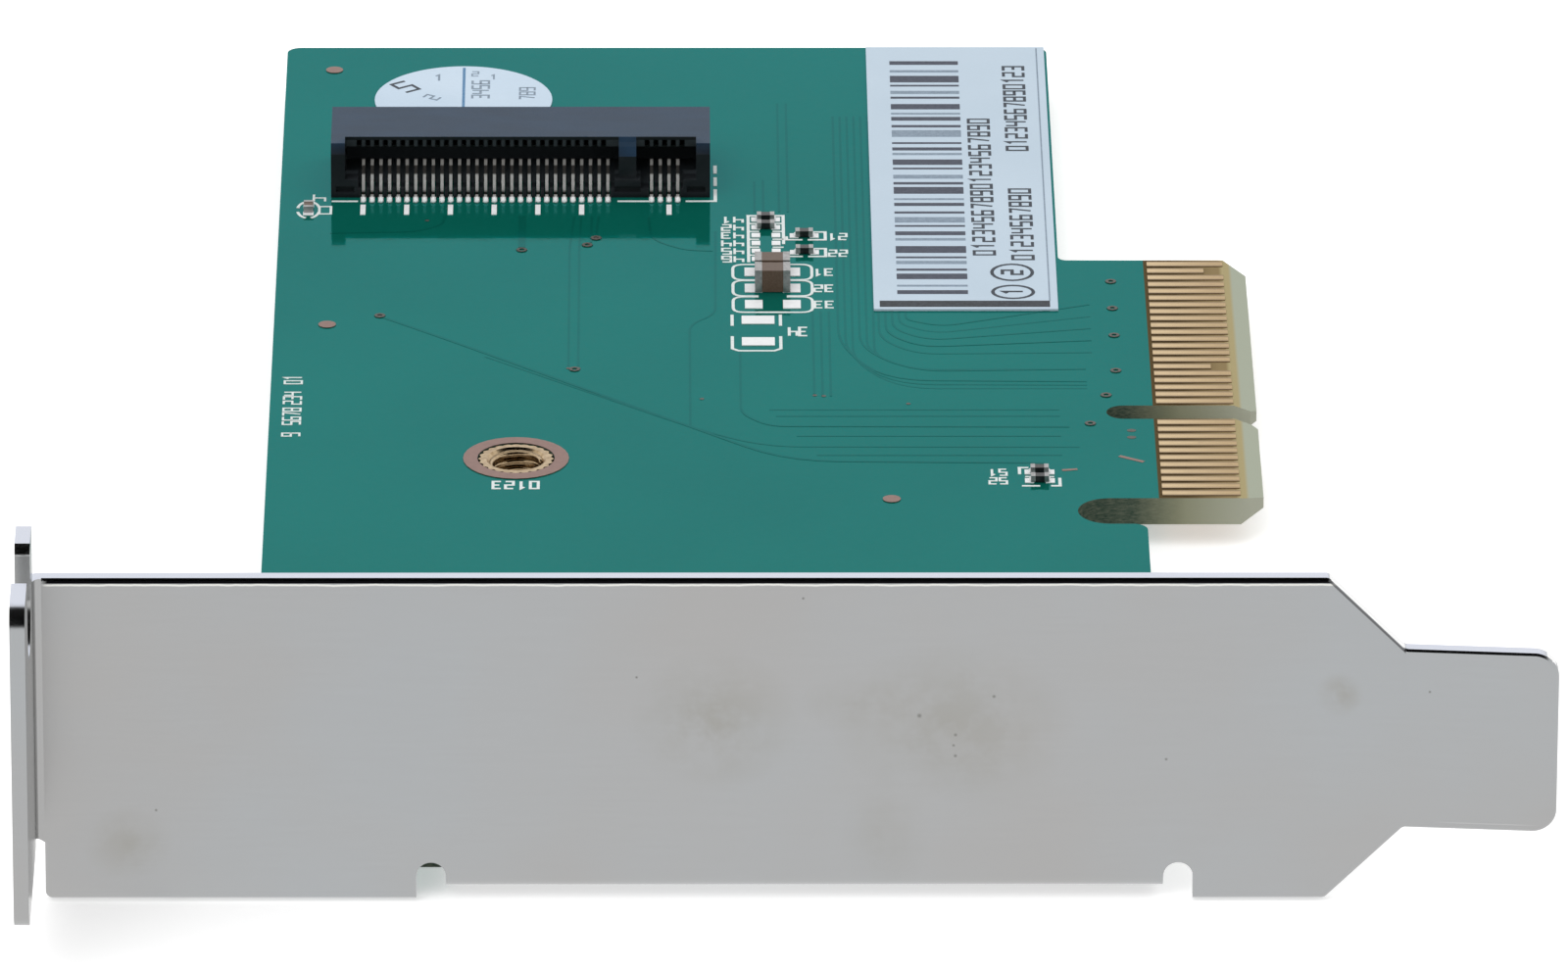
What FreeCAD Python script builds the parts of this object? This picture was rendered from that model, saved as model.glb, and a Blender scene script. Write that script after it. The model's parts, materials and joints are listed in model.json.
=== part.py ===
import FreeCAD, Part
import math
import os
from FreeCAD import Vector

# Low-profile adapter card that carries one M.2 storage module in a four-lane card slot.
# Millimetres. +X points out of the card edge, into the slot. +Y runs from the mounting
# bracket along the card. +Z is the side that carries the parts. The origin is the middle
# of the key notch, on the card edge, at the board's mid-plane.

# ---- board ----------------------------------------------------------------------------
board_thickness = 1.57
board_height = 54.95            # card edge to the top edge
board_beyond_socket = 17.07     # socket's back to the board's far edge
board_corner_radius = 0.8
body_setback = 10.61            # board's lower edge beyond the contact tab
hook_setback = 6.52             # board's lower edge beside the bracket
inner_corner_radius = 0.5

# ---- card edge ------------------------------------------------------------------------
finger_pitch = 1.0
finger_width = 0.7
finger_length = 4.3
finger_edge_gap = 1.3           # card edge to the tips
short_finger_step = 1.1         # what a presence contact lacks
finger_count_before_key = 11
finger_count_after_key = 21
key_finger_gap = 3.0            # middle to middle across the notch
presence_fingers_component = (17, 31)
presence_fingers_solder = (1,)
tab_margin = 0.65               # outermost middle to the tab's side
tab_chamfer_out = 1.25
tab_chamfer_side = 1.2
key_width = 1.9
key_depth = 8.4
key_mouth_chamfer = 0.35
slot_width = 3.55               # between the tab and the hook
slot_depth = 10.3
edge_bevel_length = 1.3
edge_land = 0.6                 # what the two bevels leave of the board's edge
plating_thickness = 0.05

# ---- module socket --------------------------------------------------------------------
module_line = -41.19            # the module's centre line, in X
socket_depth = 6.1
socket_height = 3.15
socket_end_wall = 0.8
mouth_margin = 0.55             # mouth beyond the outermost contact places
socket_floor = 0.55
socket_roof = 0.6
roof_setback = 1.5
socket_back_wall = 1.5
contact_pitch = 0.5
contact_place_count = 37               # places in the lower row; the upper row has one more
key_first_count = 29                  # first place that the key takes
key_place_count = 4
key_post_width = 1.0
key_post_drop = 0.75
key_base_width = 1.5
ledge_width = 0.75              # low ledges at the mouth's ends
ledge_rise = 1.1                # ledges and key base above the board
contact_width = 0.18
contact_thickness = 0.14
spring_gap = 0.1                # springs to the slots' far walls
spring_rise = 0.8               # lower springs above the housing's floor
contact_slot_width = 0.3
contact_slot_rise = 0.4         # slot cut into the roof
contact_slot_drop = 0.15        # the same slot below the roof, in the back wall
rear_slot_depth = 0.85          # tall part of the slot, from the back
lower_slot_reach = 1.0          # slots in the floor, behind the roof's front edge
foot_recess_width = 1.05
key_recess_width = 1.5
foot_recess_height = 0.38
foot_recess_depth = 0.3
end_wall_chamfer = 0.5
front_foot = 0.62               # how far the lower tails reach in front of the housing
rear_foot = 1.0
socket_pad_width = 0.3
socket_pad_margin = 0.12
ground_pad_step_count = 5
ground_pad_length = 1.45
ground_pad_gap = 0.45
peg_line_inset = 0.8            # from the housing's ends
peg_radius = 0.55
peg_length = 1.2
peg_clearance = 0.05
peg_inset = 3.2
hold_down_width = 1.1
hold_down_thickness = 0.25
hold_down_rise = 1.6
hold_down_foot = 0.9
hold_down_inset = 0.35

# ---- module nuts ----------------------------------------------------------------------
seat_depth = 3.83               # socket front to the stop of a fully seated module
short_module = 42.0
long_module = 80.0
nut_to_flange = 1.32            # far nut's rim to the bracket's flange
nut_radius = 2.1
nut_tooth_count = 24
tooth_depth = 0.16
nut_bore_radius = 1.45
nut_mouth_chamfer = 0.2
nut_flange_radius = 2.8
nut_flange_thickness = 0.5
nut_fit = 0.03
ring_radius = 2.93
ring_sides = 32

# ---- bracket --------------------------------------------------------------------------
sheet = 0.8
bracket_face = -59.05           # outer face
bracket_width = 18.32
bracket_low = -2.0              # lower edge of the face
shelf = -66.0                   # the tab's inner face
bracket_length = 79.73          # shelf to the tail's tip
tail_width = 10.19
tail_length = 8.02
tail_radius = 1.3
tail_kick = 5.5                 # degrees that the tail leans outwards
bend_radius = 0.45              # inside
tab_depth = 11.43
tab_low = 1.25
tab_width = 18.25
tab_far_gap = 0.1               # high end of the tab to the face's outer side
tab_radius = 1.25
screw_slot_width = 4.42
screw_slot_middle = 5.3         # from the outer face
screw_slot_depth = 5.2
screw_slot_flare = 0.4
relief_width = 1.55
relief_rise = 0.85              # from the board's underside to the top of a relief notch
edge_roll = 0.12                # broken edge round the outer face
flange_start = -44.53
flange_length = 37.7
flange_depth = 9.56
flange_radius = 1.5
flange_bend_radius = 0.3
board_to_bracket = 0.51
face_corner_radius = 0.4
bend_relief = 1.0

# ---- bracket screws -------------------------------------------------------------------
screw_radius = 1.48
screw_length = 2.7
screw_head_radius = 2.75
screw_head_height = 1.75
screw_head_crown = 0.7
screw_head_crown_inset = 1.0
screw_recess_width = 0.75
screw_recess_span = 3.0
screw_recess_depth = 0.9
screw_inset = 4.0               # from the flange's ends
screw_row = 4.2                 # from the bracket's inner face
thread_gap = 0.02
board_screw_gap = 0.12

# ---- labels ---------------------------------------------------------------------------
label_width = 10.4
label_length = 39.9
label_edge_gap = 0.15
label_far_gap = 0.2
paper = 0.12
sticker_radius = 5.15
sticker_x = -44.6
sticker_far_gap = 3.22

# ---- small parts on the component side --------------------------------------------------
pad = 0.05
small_chip = (1.0, 0.5, 0.35)   # length, width, height of a small chip part
large_chip = (2.0, 1.25)        # length and width of a large one
large_chip_heights = (1.3, 0.95)
small_end = 0.25
large_end = 0.4
end_lip = 0.02
fillet_reach = 0.12
fillet_rise = 0.4               # share of the part's height
stack_x = -27.18
stack_front_gap = 3.4           # socket front to the first row
stack_pitch = 1.18
stack_place_count = 6
stack_filled_count = 2
stack_pad_spacing = 1.15
stack_pad = (0.5, 0.6)
single_x = -25.0
single_row_drop = 2.43          # below the stack's first row
single_pitch = 2.49
pair_x = -12.3
pair_y = -8.55
pair_pitch = 1.2
bank_x = -26.85
bank_gap = 1.94                 # below the stack's last row
bank_pitch = 2.39
bank_place_count = 3
bank_pad_spacing = 2.15
bank_pad = (1.0, 1.2)
bulk_x = -27.7
bulk_gap = 3.86                 # below the bank's last row
bulk_pad_spacing = 3.15
bulk_pad = (1.85, 1.15)
edge_chip_inset = 1.65          # from the board's top edge
edge_chip_gap = 1.9             # in front of the socket
test_point_radius = 0.5
test_point_sides = 16
test_point_far_gap = 3.57
via_radius = 0.32
via_hole_radius = 0.15
via_sides = 8
edge_via_x = -7.7
edge_via_inset = 3.19           # from the tab's far side
edge_via_pitch = 3.95
edge_via_count = 3
field_vias_at = ((-7.73, 5.94), (-8.36, 2.41), (-9.33, -1.65),
                 (-38.0, 6.14), (-49.0, 13.95))
socket_vias_at = ((-37.35, 7.19), (-36.85, 6.16), (-41.07, 7.93))   # Y is the gap to the socket

# ---- places that follow from the sizes above --------------------------------------------
top = board_thickness / 2
bottom = -top
board_top_edge = -board_height
bracket_inner = bracket_face + sheet
board_near = bracket_inner + board_to_bracket
key_half_gap = key_finger_gap / 2
first_finger = -key_half_gap - (finger_count_before_key - 1) * finger_pitch
last_finger = key_half_gap + (finger_count_after_key - 1) * finger_pitch
tab_near = first_finger - tab_margin
tab_far = last_finger + tab_margin
slot_near = tab_near - slot_width
flange_end = flange_start + flange_length
flange_edge = bracket_inner + flange_depth
long_nut_line = flange_edge + nut_to_flange + nut_flange_radius
seat_line = long_nut_line + long_module
nut_lines = {"short": seat_line - short_module, "long": long_nut_line}
socket_front = seat_line - seat_depth
socket_back = socket_front + socket_depth
board_reach = socket_back + board_beyond_socket
socket_mouth_length = (contact_place_count + 1) * contact_pitch + 2 * mouth_margin
socket_length = socket_mouth_length + 2 * socket_end_wall
key_post_line = module_line + contact_pitch * (
    key_first_count + (key_place_count - 1) / 2 - contact_place_count / 2 + 0.25)
peg_spacing = socket_length - 2 * peg_line_inset
socket_left = module_line - socket_length / 2
socket_right = module_line + socket_length / 2
mouth_left = module_line - socket_mouth_length / 2
mouth_right = module_line + socket_mouth_length / 2
roof_front = socket_front + roof_setback
roof_under = top + socket_height - socket_roof
screws_at = ((flange_start + screw_inset, bracket_inner + screw_row),
             (flange_end - screw_inset, bracket_inner + screw_row))
bracket_high = bracket_low + bracket_width
bracket_middle = bracket_low + bracket_width / 2
tail_tip = shelf + bracket_length
tail_start = tail_tip - tail_length
edge_via_y = tab_far - edge_via_inset
tab_high = tab_low + tab_width
tab_end = bracket_face - tab_depth
hold_down_x = socket_length / 2 - hold_down_inset - hold_down_width / 2
stack_y = socket_front - stack_front_gap
single_y = stack_y - single_row_drop
bank_y = stack_y - (stack_place_count - 1) * stack_pitch - bank_gap
bulk_y = bank_y - (bank_place_count - 1) * bank_pitch - bulk_gap
edge_chip_x = board_top_edge + edge_chip_inset
edge_chip_y = socket_front - edge_chip_gap
sticker_y = board_reach - sticker_far_gap - sticker_radius
test_points_at = ((board_top_edge + 2.79, board_reach - test_point_far_gap),
                  (board_top_edge + 3.0, bulk_y + 0.93),
                  (stack_x + 6.68, tab_near - 0.15))
cut_over = 1.0                  # how far a cutting tool stands out of what it cuts


# ---- helpers --------------------------------------------------------------------------
def block(x0, x1, y0, y1, z0, z1):
    """Box between two corners."""
    return Part.makeBox(x1 - x0, y1 - y0, z1 - z0, Vector(x0, y0, z0))


def slab(x, y, length, width, z, height):
    """Flat box centred on x, y, standing on z."""
    return block(x - length / 2, x + length / 2, y - width / 2, y + width / 2, z, z + height)


def rod(x, y, z0, z1, radius):
    """Upright cylinder."""
    return Part.makeCylinder(radius, z1 - z0, Vector(x, y, z0))


def rounded_outline(corners):
    """Closed wire through (point, radius) corners, each rounded by its own arc."""
    count = len(corners)
    stretches = []
    for index, (point, radius) in enumerate(corners):
        before = corners[index - 1][0] - point
        after = corners[(index + 1) % count][0] - point
        before.normalize()
        after.normalize()
        if radius == 0:
            stretches.append((point, point, point))
            continue
        half_angle = before.getAngle(after) / 2
        run = radius / math.tan(half_angle)
        towards = before + after
        towards.normalize()
        nearest = radius / math.sin(half_angle) - radius
        stretches.append((point + before * run, point + towards * nearest, point + after * run))
    edges = []
    for index, (start, middle, end) in enumerate(stretches):
        if start.distanceToPoint(end) > 1e-6:
            edges.append(Part.Arc(start, middle, end).toShape())
        following = stretches[(index + 1) % count][0]
        if end.distanceToPoint(following) > 1e-6:
            edges.append(Part.LineSegment(end, following).toShape())
    return Part.Wire(edges)


def prism(corners, along):
    """Solid made by pushing a rounded outline along a vector."""
    return Part.Face(rounded_outline(corners)).extrude(along)


def flat_prism(points, z0, z1):
    """Upright prism on (x, y, radius) corners."""
    corners = [(Vector(x, y, z0), radius) for x, y, radius in points]
    return prism(corners, Vector(0, 0, z1 - z0))


def group(shapes):
    """Several separate solids in one node."""
    return Part.makeCompound(shapes)


def bent_strip(x, width, path, thickness):
    """Strip of sheet that follows a path in Y and Z, centred on x."""
    points = [Vector(x - width / 2, y, z) for y, z in path]
    sides = ([], [])
    for index, point in enumerate(points):
        before = points[max(index - 1, 0)]
        after = points[min(index + 1, len(points) - 1)]
        into = (point - before) if index else (after - point)
        out = (after - point) if index < len(points) - 1 else (point - before)
        into.normalize()
        out.normalize()
        lean = into + out
        lean.normalize()
        reach = thickness / 2 / lean.dot(into)
        normal = Vector(0, -lean.z, lean.y) * reach
        sides[0].append(point + normal)
        sides[1].append(point - normal)
    outline = sides[0] + sides[1][::-1]
    face = Part.Face(Part.makePolygon(outline + outline[:1]))
    return face.extrude(Vector(width, 0, 0))


# ---- board ----------------------------------------------------------------------------
def key_notch_corners():
    """Key notch, from its near mouth corner to its far one."""
    half = key_width / 2
    flare = half + key_mouth_chamfer
    return [(0, -flare, 0), (-key_mouth_chamfer, -half, 0), (-key_depth, -half, half),
            (-key_depth, half, half), (-key_mouth_chamfer, half, 0), (0, flare, 0)]


def board_corners():
    """The board's outline, from its near top corner round by the card edge."""
    round_end = slot_width / 2
    corners = [(board_top_edge, board_near, board_corner_radius),
               (-hook_setback, board_near, board_corner_radius),
               (-hook_setback, slot_near, board_corner_radius),
               (-slot_depth, slot_near, round_end),
               (-slot_depth, tab_near, round_end),
               (-tab_chamfer_out, tab_near, 0),
               (0, tab_near + tab_chamfer_side, 0)]
    corners += key_notch_corners()
    corners += [(0, tab_far - tab_chamfer_side, 0),
                (-tab_chamfer_out, tab_far, 0),
                (-body_setback, tab_far, inner_corner_radius),
                (-body_setback, board_reach, board_corner_radius),
                (board_top_edge, board_reach, board_corner_radius)]
    return corners


def edge_bevel(side):
    """Wedge that bevels the card edge on one face; side is 1 or -1."""
    out = cut_over
    slope = (top - edge_land / 2) / edge_bevel_length
    start = Vector(-edge_bevel_length, tab_near - out, side * top)
    points = [start,
              Vector(out, start.y, side * (top - slope * (edge_bevel_length + out))),
              Vector(out, start.y, side * (top + out)),
              Vector(-edge_bevel_length, start.y, side * (top + out))]
    face = Part.Face(Part.makePolygon(points + points[:1]))
    return face.extrude(Vector(0, tab_far - tab_near + 2 * out, 0))


def circuit_board():
    board = flat_prism(board_corners(), bottom, top)
    holes = [edge_bevel(1), edge_bevel(-1)]
    for line in nut_lines.values():
        holes.append(rod(module_line, line, bottom - cut_over, top + cut_over, nut_radius + nut_fit))
    for x, y in screws_at:
        radius = screw_radius + board_screw_gap
        holes.append(rod(x, y, bottom - cut_over, top + cut_over, radius))
    for side in (-1, 1):
        x = module_line + side * peg_spacing / 2
        radius = peg_radius + peg_clearance
        holes.append(rod(x, socket_front + peg_inset, bottom - cut_over, top + cut_over, radius))
    return board.cut(holes)


def finger_places():
    """Middle of each finger, counted from the bracket."""
    near = [first_finger + i * finger_pitch for i in range(finger_count_before_key)]
    far = [key_half_gap + i * finger_pitch for i in range(finger_count_after_key)]
    return near + far


def edge_fingers(surface, presence):
    """Plated fingers on one face; surface is the z of their underside."""
    fingers = []
    for number, y in enumerate(finger_places(), start=1):
        tip = -finger_edge_gap - (short_finger_step if number in presence else 0)
        root = -finger_edge_gap - finger_length
        fingers.append(block(root, tip, y - finger_width / 2, y + finger_width / 2,
                             surface, surface + plating_thickness))
    return group(fingers)


# ---- socket ---------------------------------------------------------------------------
def lower_places(step=1):
    """X of each contact in the lower row, or of every so many places."""
    taken = range(key_first_count, key_first_count + key_place_count)
    middle = (contact_place_count - 1) / 2
    return [module_line + (i - middle) * contact_pitch
            for i in range(0, contact_place_count, step) if i not in taken]


def upper_places():
    """X of each contact in the upper row, half a pitch from the lower one."""
    taken = range(key_first_count, key_first_count + key_place_count)
    middle = contact_place_count / 2
    return [module_line + (i - middle) * contact_pitch
            for i in range(contact_place_count + 1) if i not in taken]


def socket_slots():
    """Comb of slots that the contacts stand in."""
    tools = []
    half = contact_slot_width / 2
    slot_high = roof_under + contact_slot_rise
    for x in lower_places():
        tools.append(block(x - half, x + half, socket_front - cut_over, roof_front + lower_slot_reach,
                           top - cut_over, top + socket_floor + cut_over))
    for x in upper_places():
        tools.append(block(x - half, x + half, roof_front - cut_over, socket_back + cut_over,
                           roof_under - contact_slot_drop, slot_high))
        tools.append(block(x - half, x + half, socket_back - rear_slot_depth,
                           socket_back + cut_over, top - cut_over, slot_high))
    return tools


def socket_shell():
    """Socket body before the comb is cut: floor, back, roof and ends."""
    z_top = top + socket_height
    end_profile = [(Vector(socket_left, socket_front, top), 0),
                   (Vector(socket_left, socket_back, top), 0),
                   (Vector(socket_left, socket_back, z_top), 0),
                   (Vector(socket_left, roof_front, z_top), 0),
                   (Vector(socket_left, socket_front + end_wall_chamfer, z_top), 0),
                   (Vector(socket_left, socket_front, z_top - end_wall_chamfer), 0)]
    shell = prism(end_profile, Vector(socket_length, 0, 0))
    mouth = block(mouth_left, mouth_right, socket_front - cut_over, socket_back - socket_back_wall,
                  top + socket_floor, z_top - socket_roof)
    front = block(mouth_left, mouth_right, socket_front - cut_over, roof_front,
                  top + socket_floor, z_top + cut_over)
    return shell.cut([mouth, front])


def key_post():
    """Post that fills the module's key notch; its top slopes down to the mouth."""
    x = key_post_line - key_post_width / 2
    z_top = top + socket_height
    profile = [(Vector(x, socket_front + 0.3, top + socket_floor), 0),
               (Vector(x, socket_back - socket_back_wall, top + socket_floor), 0),
               (Vector(x, socket_back - socket_back_wall, z_top), 0),
               (Vector(x, roof_front, z_top), 0),
               (Vector(x, socket_front + 0.3, z_top - key_post_drop), 0)]
    return prism(profile, Vector(key_post_width, 0, 0))


def mouth_ledges():
    """Low ledges in the mouth: one at each end, one under the key post."""
    middles = ((mouth_left + ledge_width / 2, ledge_width), (key_post_line, key_base_width),
               (mouth_right - ledge_width / 2, ledge_width))
    return [block(x - width / 2, x + width / 2, socket_front, roof_front,
                  top + socket_floor, top + ledge_rise) for x, width in middles]


def hold_down_slot(side):
    x = module_line + side * hold_down_x
    half = hold_down_width / 2
    return block(x - half, x + half, socket_back - hold_down_thickness, socket_back + cut_over,
                 top - cut_over, top + hold_down_rise)


def socket_housing():
    body = socket_shell().fuse([key_post()] + mouth_ledges())
    tools = socket_slots()
    tools += [hold_down_slot(-1), hold_down_slot(1)]
    recess_low = top + 0.3
    recesses = ((socket_left + socket_end_wall, foot_recess_width), (key_post_line, key_recess_width),
                (socket_right - socket_end_wall, foot_recess_width))
    for x, width in recesses:
        half = width / 2
        tools.append(block(x - half, x + half, socket_front - cut_over,
                           socket_front + foot_recess_depth,
                           recess_low, recess_low + foot_recess_height))
    body = body.cut(tools)
    pegs = [rod(module_line + side * peg_spacing / 2, socket_front + peg_inset,
                top - peg_length, top + socket_floor, peg_radius) for side in (-1, 1)]
    return body.fuse(pegs).removeSplitter()


def socket_lower_contacts():
    """Springs whose feet come out under the mouth."""
    foot = top + pad + contact_thickness / 2
    knee = top + socket_floor + spring_gap
    bump = knee + spring_rise
    path = [(socket_front - front_foot, foot), (socket_front + spring_gap, foot),
            (socket_front + 3.5 * spring_gap, knee), (socket_front + spring_rise, bump),
            (roof_front + 3 * spring_gap, bump + 2 * spring_gap)]
    return group([bent_strip(x, contact_width, path, contact_thickness) for x in lower_places()])


def socket_upper_contacts():
    """Springs whose feet come out behind the socket."""
    foot = top + pad + contact_thickness / 2
    spine = roof_under + spring_gap
    path = [(socket_back + rear_foot, foot), (socket_back + 3 * spring_gap, foot),
            (socket_back - 6 * spring_gap, spine), (roof_front + 1.6, spine),
            (roof_front + 3 * spring_gap, spine - 2 * spring_gap)]
    return group([bent_strip(x, contact_width, path, contact_thickness) for x in upper_places()])


def socket_hold_downs():
    """Sheet lugs that solder the housing's back corners to the board."""
    half = hold_down_thickness / 2
    blade = socket_back - half
    path = [(blade, top + hold_down_rise), (blade, top + pad + half),
            (blade + hold_down_foot, top + pad + half)]
    return group([bent_strip(module_line + side * hold_down_x, hold_down_width, path,
                             hold_down_thickness) for side in (-1, 1)])


def socket_front_pads():
    length = front_foot + socket_pad_margin
    middle = socket_front - length / 2
    ground_line = socket_front - length - ground_pad_gap - ground_pad_length / 2
    pads = [slab(x, middle, socket_pad_width, length, top, pad) for x in lower_places()]
    pads += [slab(x, ground_line, socket_pad_width, ground_pad_length, top, pad)
             for x in lower_places(ground_pad_step_count)]
    return group(pads)


def socket_rear_pads():
    length = rear_foot + socket_pad_margin
    middle = socket_back + length / 2
    pads = [slab(x, middle, socket_pad_width, length, top, pad) for x in upper_places()]
    for side in (-1, 1):
        pads.append(slab(module_line + side * hold_down_x, middle, hold_down_width, length, top, pad))
    return group(pads)


# ---- module nuts ----------------------------------------------------------------------
def module_nut(line):
    """Knurled nut pressed in from the solder side, flush with the component side."""
    points = []
    for step in range(2 * nut_tooth_count):
        radius = nut_radius - (tooth_depth if step % 2 else 0)
        angle = math.pi * step / nut_tooth_count
        points.append(Vector(module_line + radius * math.cos(angle),
                             line + radius * math.sin(angle), bottom))
    shank = Part.Face(Part.makePolygon(points + points[:1])).extrude(Vector(0, 0, board_thickness))
    flange = rod(module_line, line, bottom - nut_flange_thickness, bottom, nut_flange_radius)
    bore = rod(module_line, line, bottom - cut_over, top + cut_over, nut_bore_radius)
    mouth = Part.makeCone(nut_bore_radius, nut_bore_radius + nut_mouth_chamfer, nut_mouth_chamfer,
                          Vector(module_line, line, top - nut_mouth_chamfer))
    return shank.fuse(flange).cut([bore, mouth]).removeSplitter()


def sided_disc(x, y, radius, sides, z, height):
    """Upright prism on a regular polygon."""
    points = []
    for step in range(sides):
        angle = 2 * math.pi * step / sides
        points.append(Vector(x + radius * math.cos(angle), y + radius * math.sin(angle), z))
    return Part.Face(Part.makePolygon(points + points[:1])).extrude(Vector(0, 0, height))


def copper_ring(x, y, outer, inner, sides):
    """Flat ring of bare copper on the component side."""
    hole = sided_disc(x, y, inner, sides, top, pad)
    return sided_disc(x, y, outer, sides, top, pad).cut(hole)


def nut_ground_rings():
    inner = (nut_radius + nut_fit) / math.cos(math.pi / ring_sides)
    return group([copper_ring(module_line, line, ring_radius, inner, ring_sides)
                  for line in nut_lines.values()])


# ---- bracket --------------------------------------------------------------------------
def bracket_face_sheet():
    """Flat face, shoulders and tail, without the bends."""
    shoulder = (bracket_width - tail_width) / 2
    outline = [(shelf + bend_radius, bracket_low, face_corner_radius),
               (tail_start - shoulder, bracket_low, face_corner_radius),
               (tail_start, bracket_low + shoulder, face_corner_radius),
               (tail_tip, bracket_low + shoulder, tail_radius),
               (tail_tip, bracket_high - shoulder, tail_radius),
               (tail_start, bracket_high - shoulder, face_corner_radius),
               (tail_start - shoulder, bracket_high, face_corner_radius),
               (shelf + bend_radius, bracket_high, 0)]
    corners = [(Vector(x, bracket_face - cut_over, z), radius) for x, z, radius in outline]
    silhouette = prism(corners, Vector(0, sheet + 2 * cut_over, 0))
    lean = math.tan(math.radians(tail_kick)) * tail_length
    section = [Vector(shelf, bracket_face, bracket_low),
               Vector(tail_start, bracket_face, bracket_low),
               Vector(tail_tip + cut_over, bracket_face - lean, bracket_low),
               Vector(tail_tip + cut_over, bracket_inner - lean, bracket_low),
               Vector(tail_start, bracket_inner, bracket_low),
               Vector(shelf, bracket_inner, bracket_low)]
    bar = Part.Face(Part.makePolygon(section + section[:1])).extrude(Vector(0, 0, bracket_width))
    plate = bar.common(silhouette)
    return plate.makeChamfer(edge_roll, outer_rim(plate))


def outer_rim(plate):
    """Edges round the plate's outer face, without those at the bend and the tail's fold."""
    rim = []
    for edge in plate.Edges:
        box = edge.BoundBox
        outside = box.YMax < bracket_face + 1e-4
        upright = box.XLength < 1e-4
        fold = upright and box.XMin < tail_start + 1e-4
        if outside and not fold:
            rim.append(edge)
    return rim


def quarter_bend(axis_point, axis, start, inner_radius, length):
    """Quarter of a tube of sheet thickness; start points from the axis to its first edge."""
    first = Vector(start)
    first.normalize()
    inside = axis_point + first * inner_radius
    outside = axis_point + first * (inner_radius + sheet)
    edge_line = Part.makePolygon([inside, outside, outside + axis * length,
                                  inside + axis * length, inside])
    return Part.Face(edge_line).revolve(axis_point, axis, 90)


def tab_bend():
    """Bend between the face and the top tab, cut back at its low end."""
    centre = Vector(shelf + bend_radius, bracket_face - bend_radius, tab_low)
    length = bracket_high - tab_low
    bend = quarter_bend(centre, Vector(0, 0, 1), Vector(0, 1, 0), bend_radius, length)
    outer = bend_radius + sheet
    left = centre.x - outer
    wedge = [Vector(left, bracket_inner, tab_low), Vector(centre.x, bracket_inner, tab_low),
             Vector(left, bracket_inner, tab_low + bend_relief)]
    cutter = Part.Face(Part.makePolygon(wedge + wedge[:1])).extrude(Vector(0, -2 * outer, 0))
    return bend.cut(cutter)


def tab_sheet():
    """Top tab with its open screw slot."""
    far = bracket_face - bend_radius
    far_high = bracket_face - tab_far_gap
    outline = [(far, tab_low, face_corner_radius), (tab_end, tab_low, tab_radius),
               (tab_end, tab_high, tab_radius), (far_high, tab_high, face_corner_radius),
               (far_high, bracket_high, 0), (far, bracket_high, 0)]
    corners = [(Vector(shelf - sheet, y, z), radius) for y, z, radius in outline]
    tab = prism(corners, Vector(sheet, 0, 0))
    middle = bracket_face - screw_slot_middle
    half = screw_slot_width / 2
    wide = half + screw_slot_flare
    low = tab_high - screw_slot_depth
    over = cut_over
    slot = [(middle - half, low, half), (middle + half, low, half),
            (middle + half, tab_high - screw_slot_flare, screw_slot_flare),
            (middle + wide, tab_high, 0), (middle + wide, tab_high + over, 0),
            (middle - wide, tab_high + over, 0), (middle - wide, tab_high, 0),
            (middle - half, tab_high - screw_slot_flare, screw_slot_flare)]
    slot_corners = [(Vector(shelf - sheet - over, y, z), radius) for y, z, radius in slot]
    return tab.cut(prism(slot_corners, Vector(sheet + 2 * over, 0, 0)))


def flange_sheet():
    """Flange under the board, with its tapped holes, and the bend that carries it."""
    centre = Vector(flange_start, bracket_inner + flange_bend_radius, bottom + flange_bend_radius)
    bend = quarter_bend(centre, Vector(1, 0, 0), Vector(0, -1, 0), flange_bend_radius,
                        flange_length)
    outline = [(flange_start, centre.y, 0), (flange_end, centre.y, 0),
               (flange_end, flange_edge, flange_radius), (flange_start, flange_edge, flange_radius)]
    plate = flat_prism(outline, bottom - sheet, bottom)
    radius = screw_radius + thread_gap
    holes = [rod(x, y, bottom - sheet - cut_over, bottom + cut_over, radius) for x, y in screws_at]
    return bend.fuse(plate.cut(holes))


def relief_notch(x0):
    """Round-ended notch beside one end of the flange, in the face."""
    half = relief_width / 2
    high = bottom + relief_rise
    corners = [(x0, bracket_low - cut_over, 0), (x0 + relief_width, bracket_low - cut_over, 0),
               (x0 + relief_width, high, half), (x0, high, half)]
    points = [(Vector(x, bracket_face - cut_over, z), radius) for x, z, radius in corners]
    return prism(points, Vector(0, sheet + 2 * cut_over, 0))


def mounting_bracket():
    face = bracket_face_sheet()
    flange_gap = block(flange_start, flange_end, bracket_face - cut_over, bracket_inner + cut_over,
                       bracket_low - cut_over, bottom + flange_bend_radius)
    face = face.cut([flange_gap, relief_notch(flange_start - relief_width),
                     relief_notch(flange_end)])
    return face.fuse([tab_bend(), tab_sheet(), flange_sheet()]).removeSplitter()


def bracket_screw(x, y):
    """Pan-head screw with a cross recess."""
    rim = top + screw_head_height - screw_head_crown
    head = rod(x, y, top, rim, screw_head_radius)
    head = head.fuse(Part.makeCone(screw_head_radius, screw_head_radius - screw_head_crown_inset,
                                   screw_head_crown, Vector(x, y, rim)))
    shank = rod(x, y, top - screw_length, top, screw_radius)
    recess_floor = top + screw_head_height - screw_recess_depth
    high = top + screw_head_height + cut_over
    recess = [slab(x, y, screw_recess_span, screw_recess_width, recess_floor, high - recess_floor),
              slab(x, y, screw_recess_width, screw_recess_span, recess_floor, high - recess_floor)]
    return head.fuse(shank).cut(recess).removeSplitter()


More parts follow.
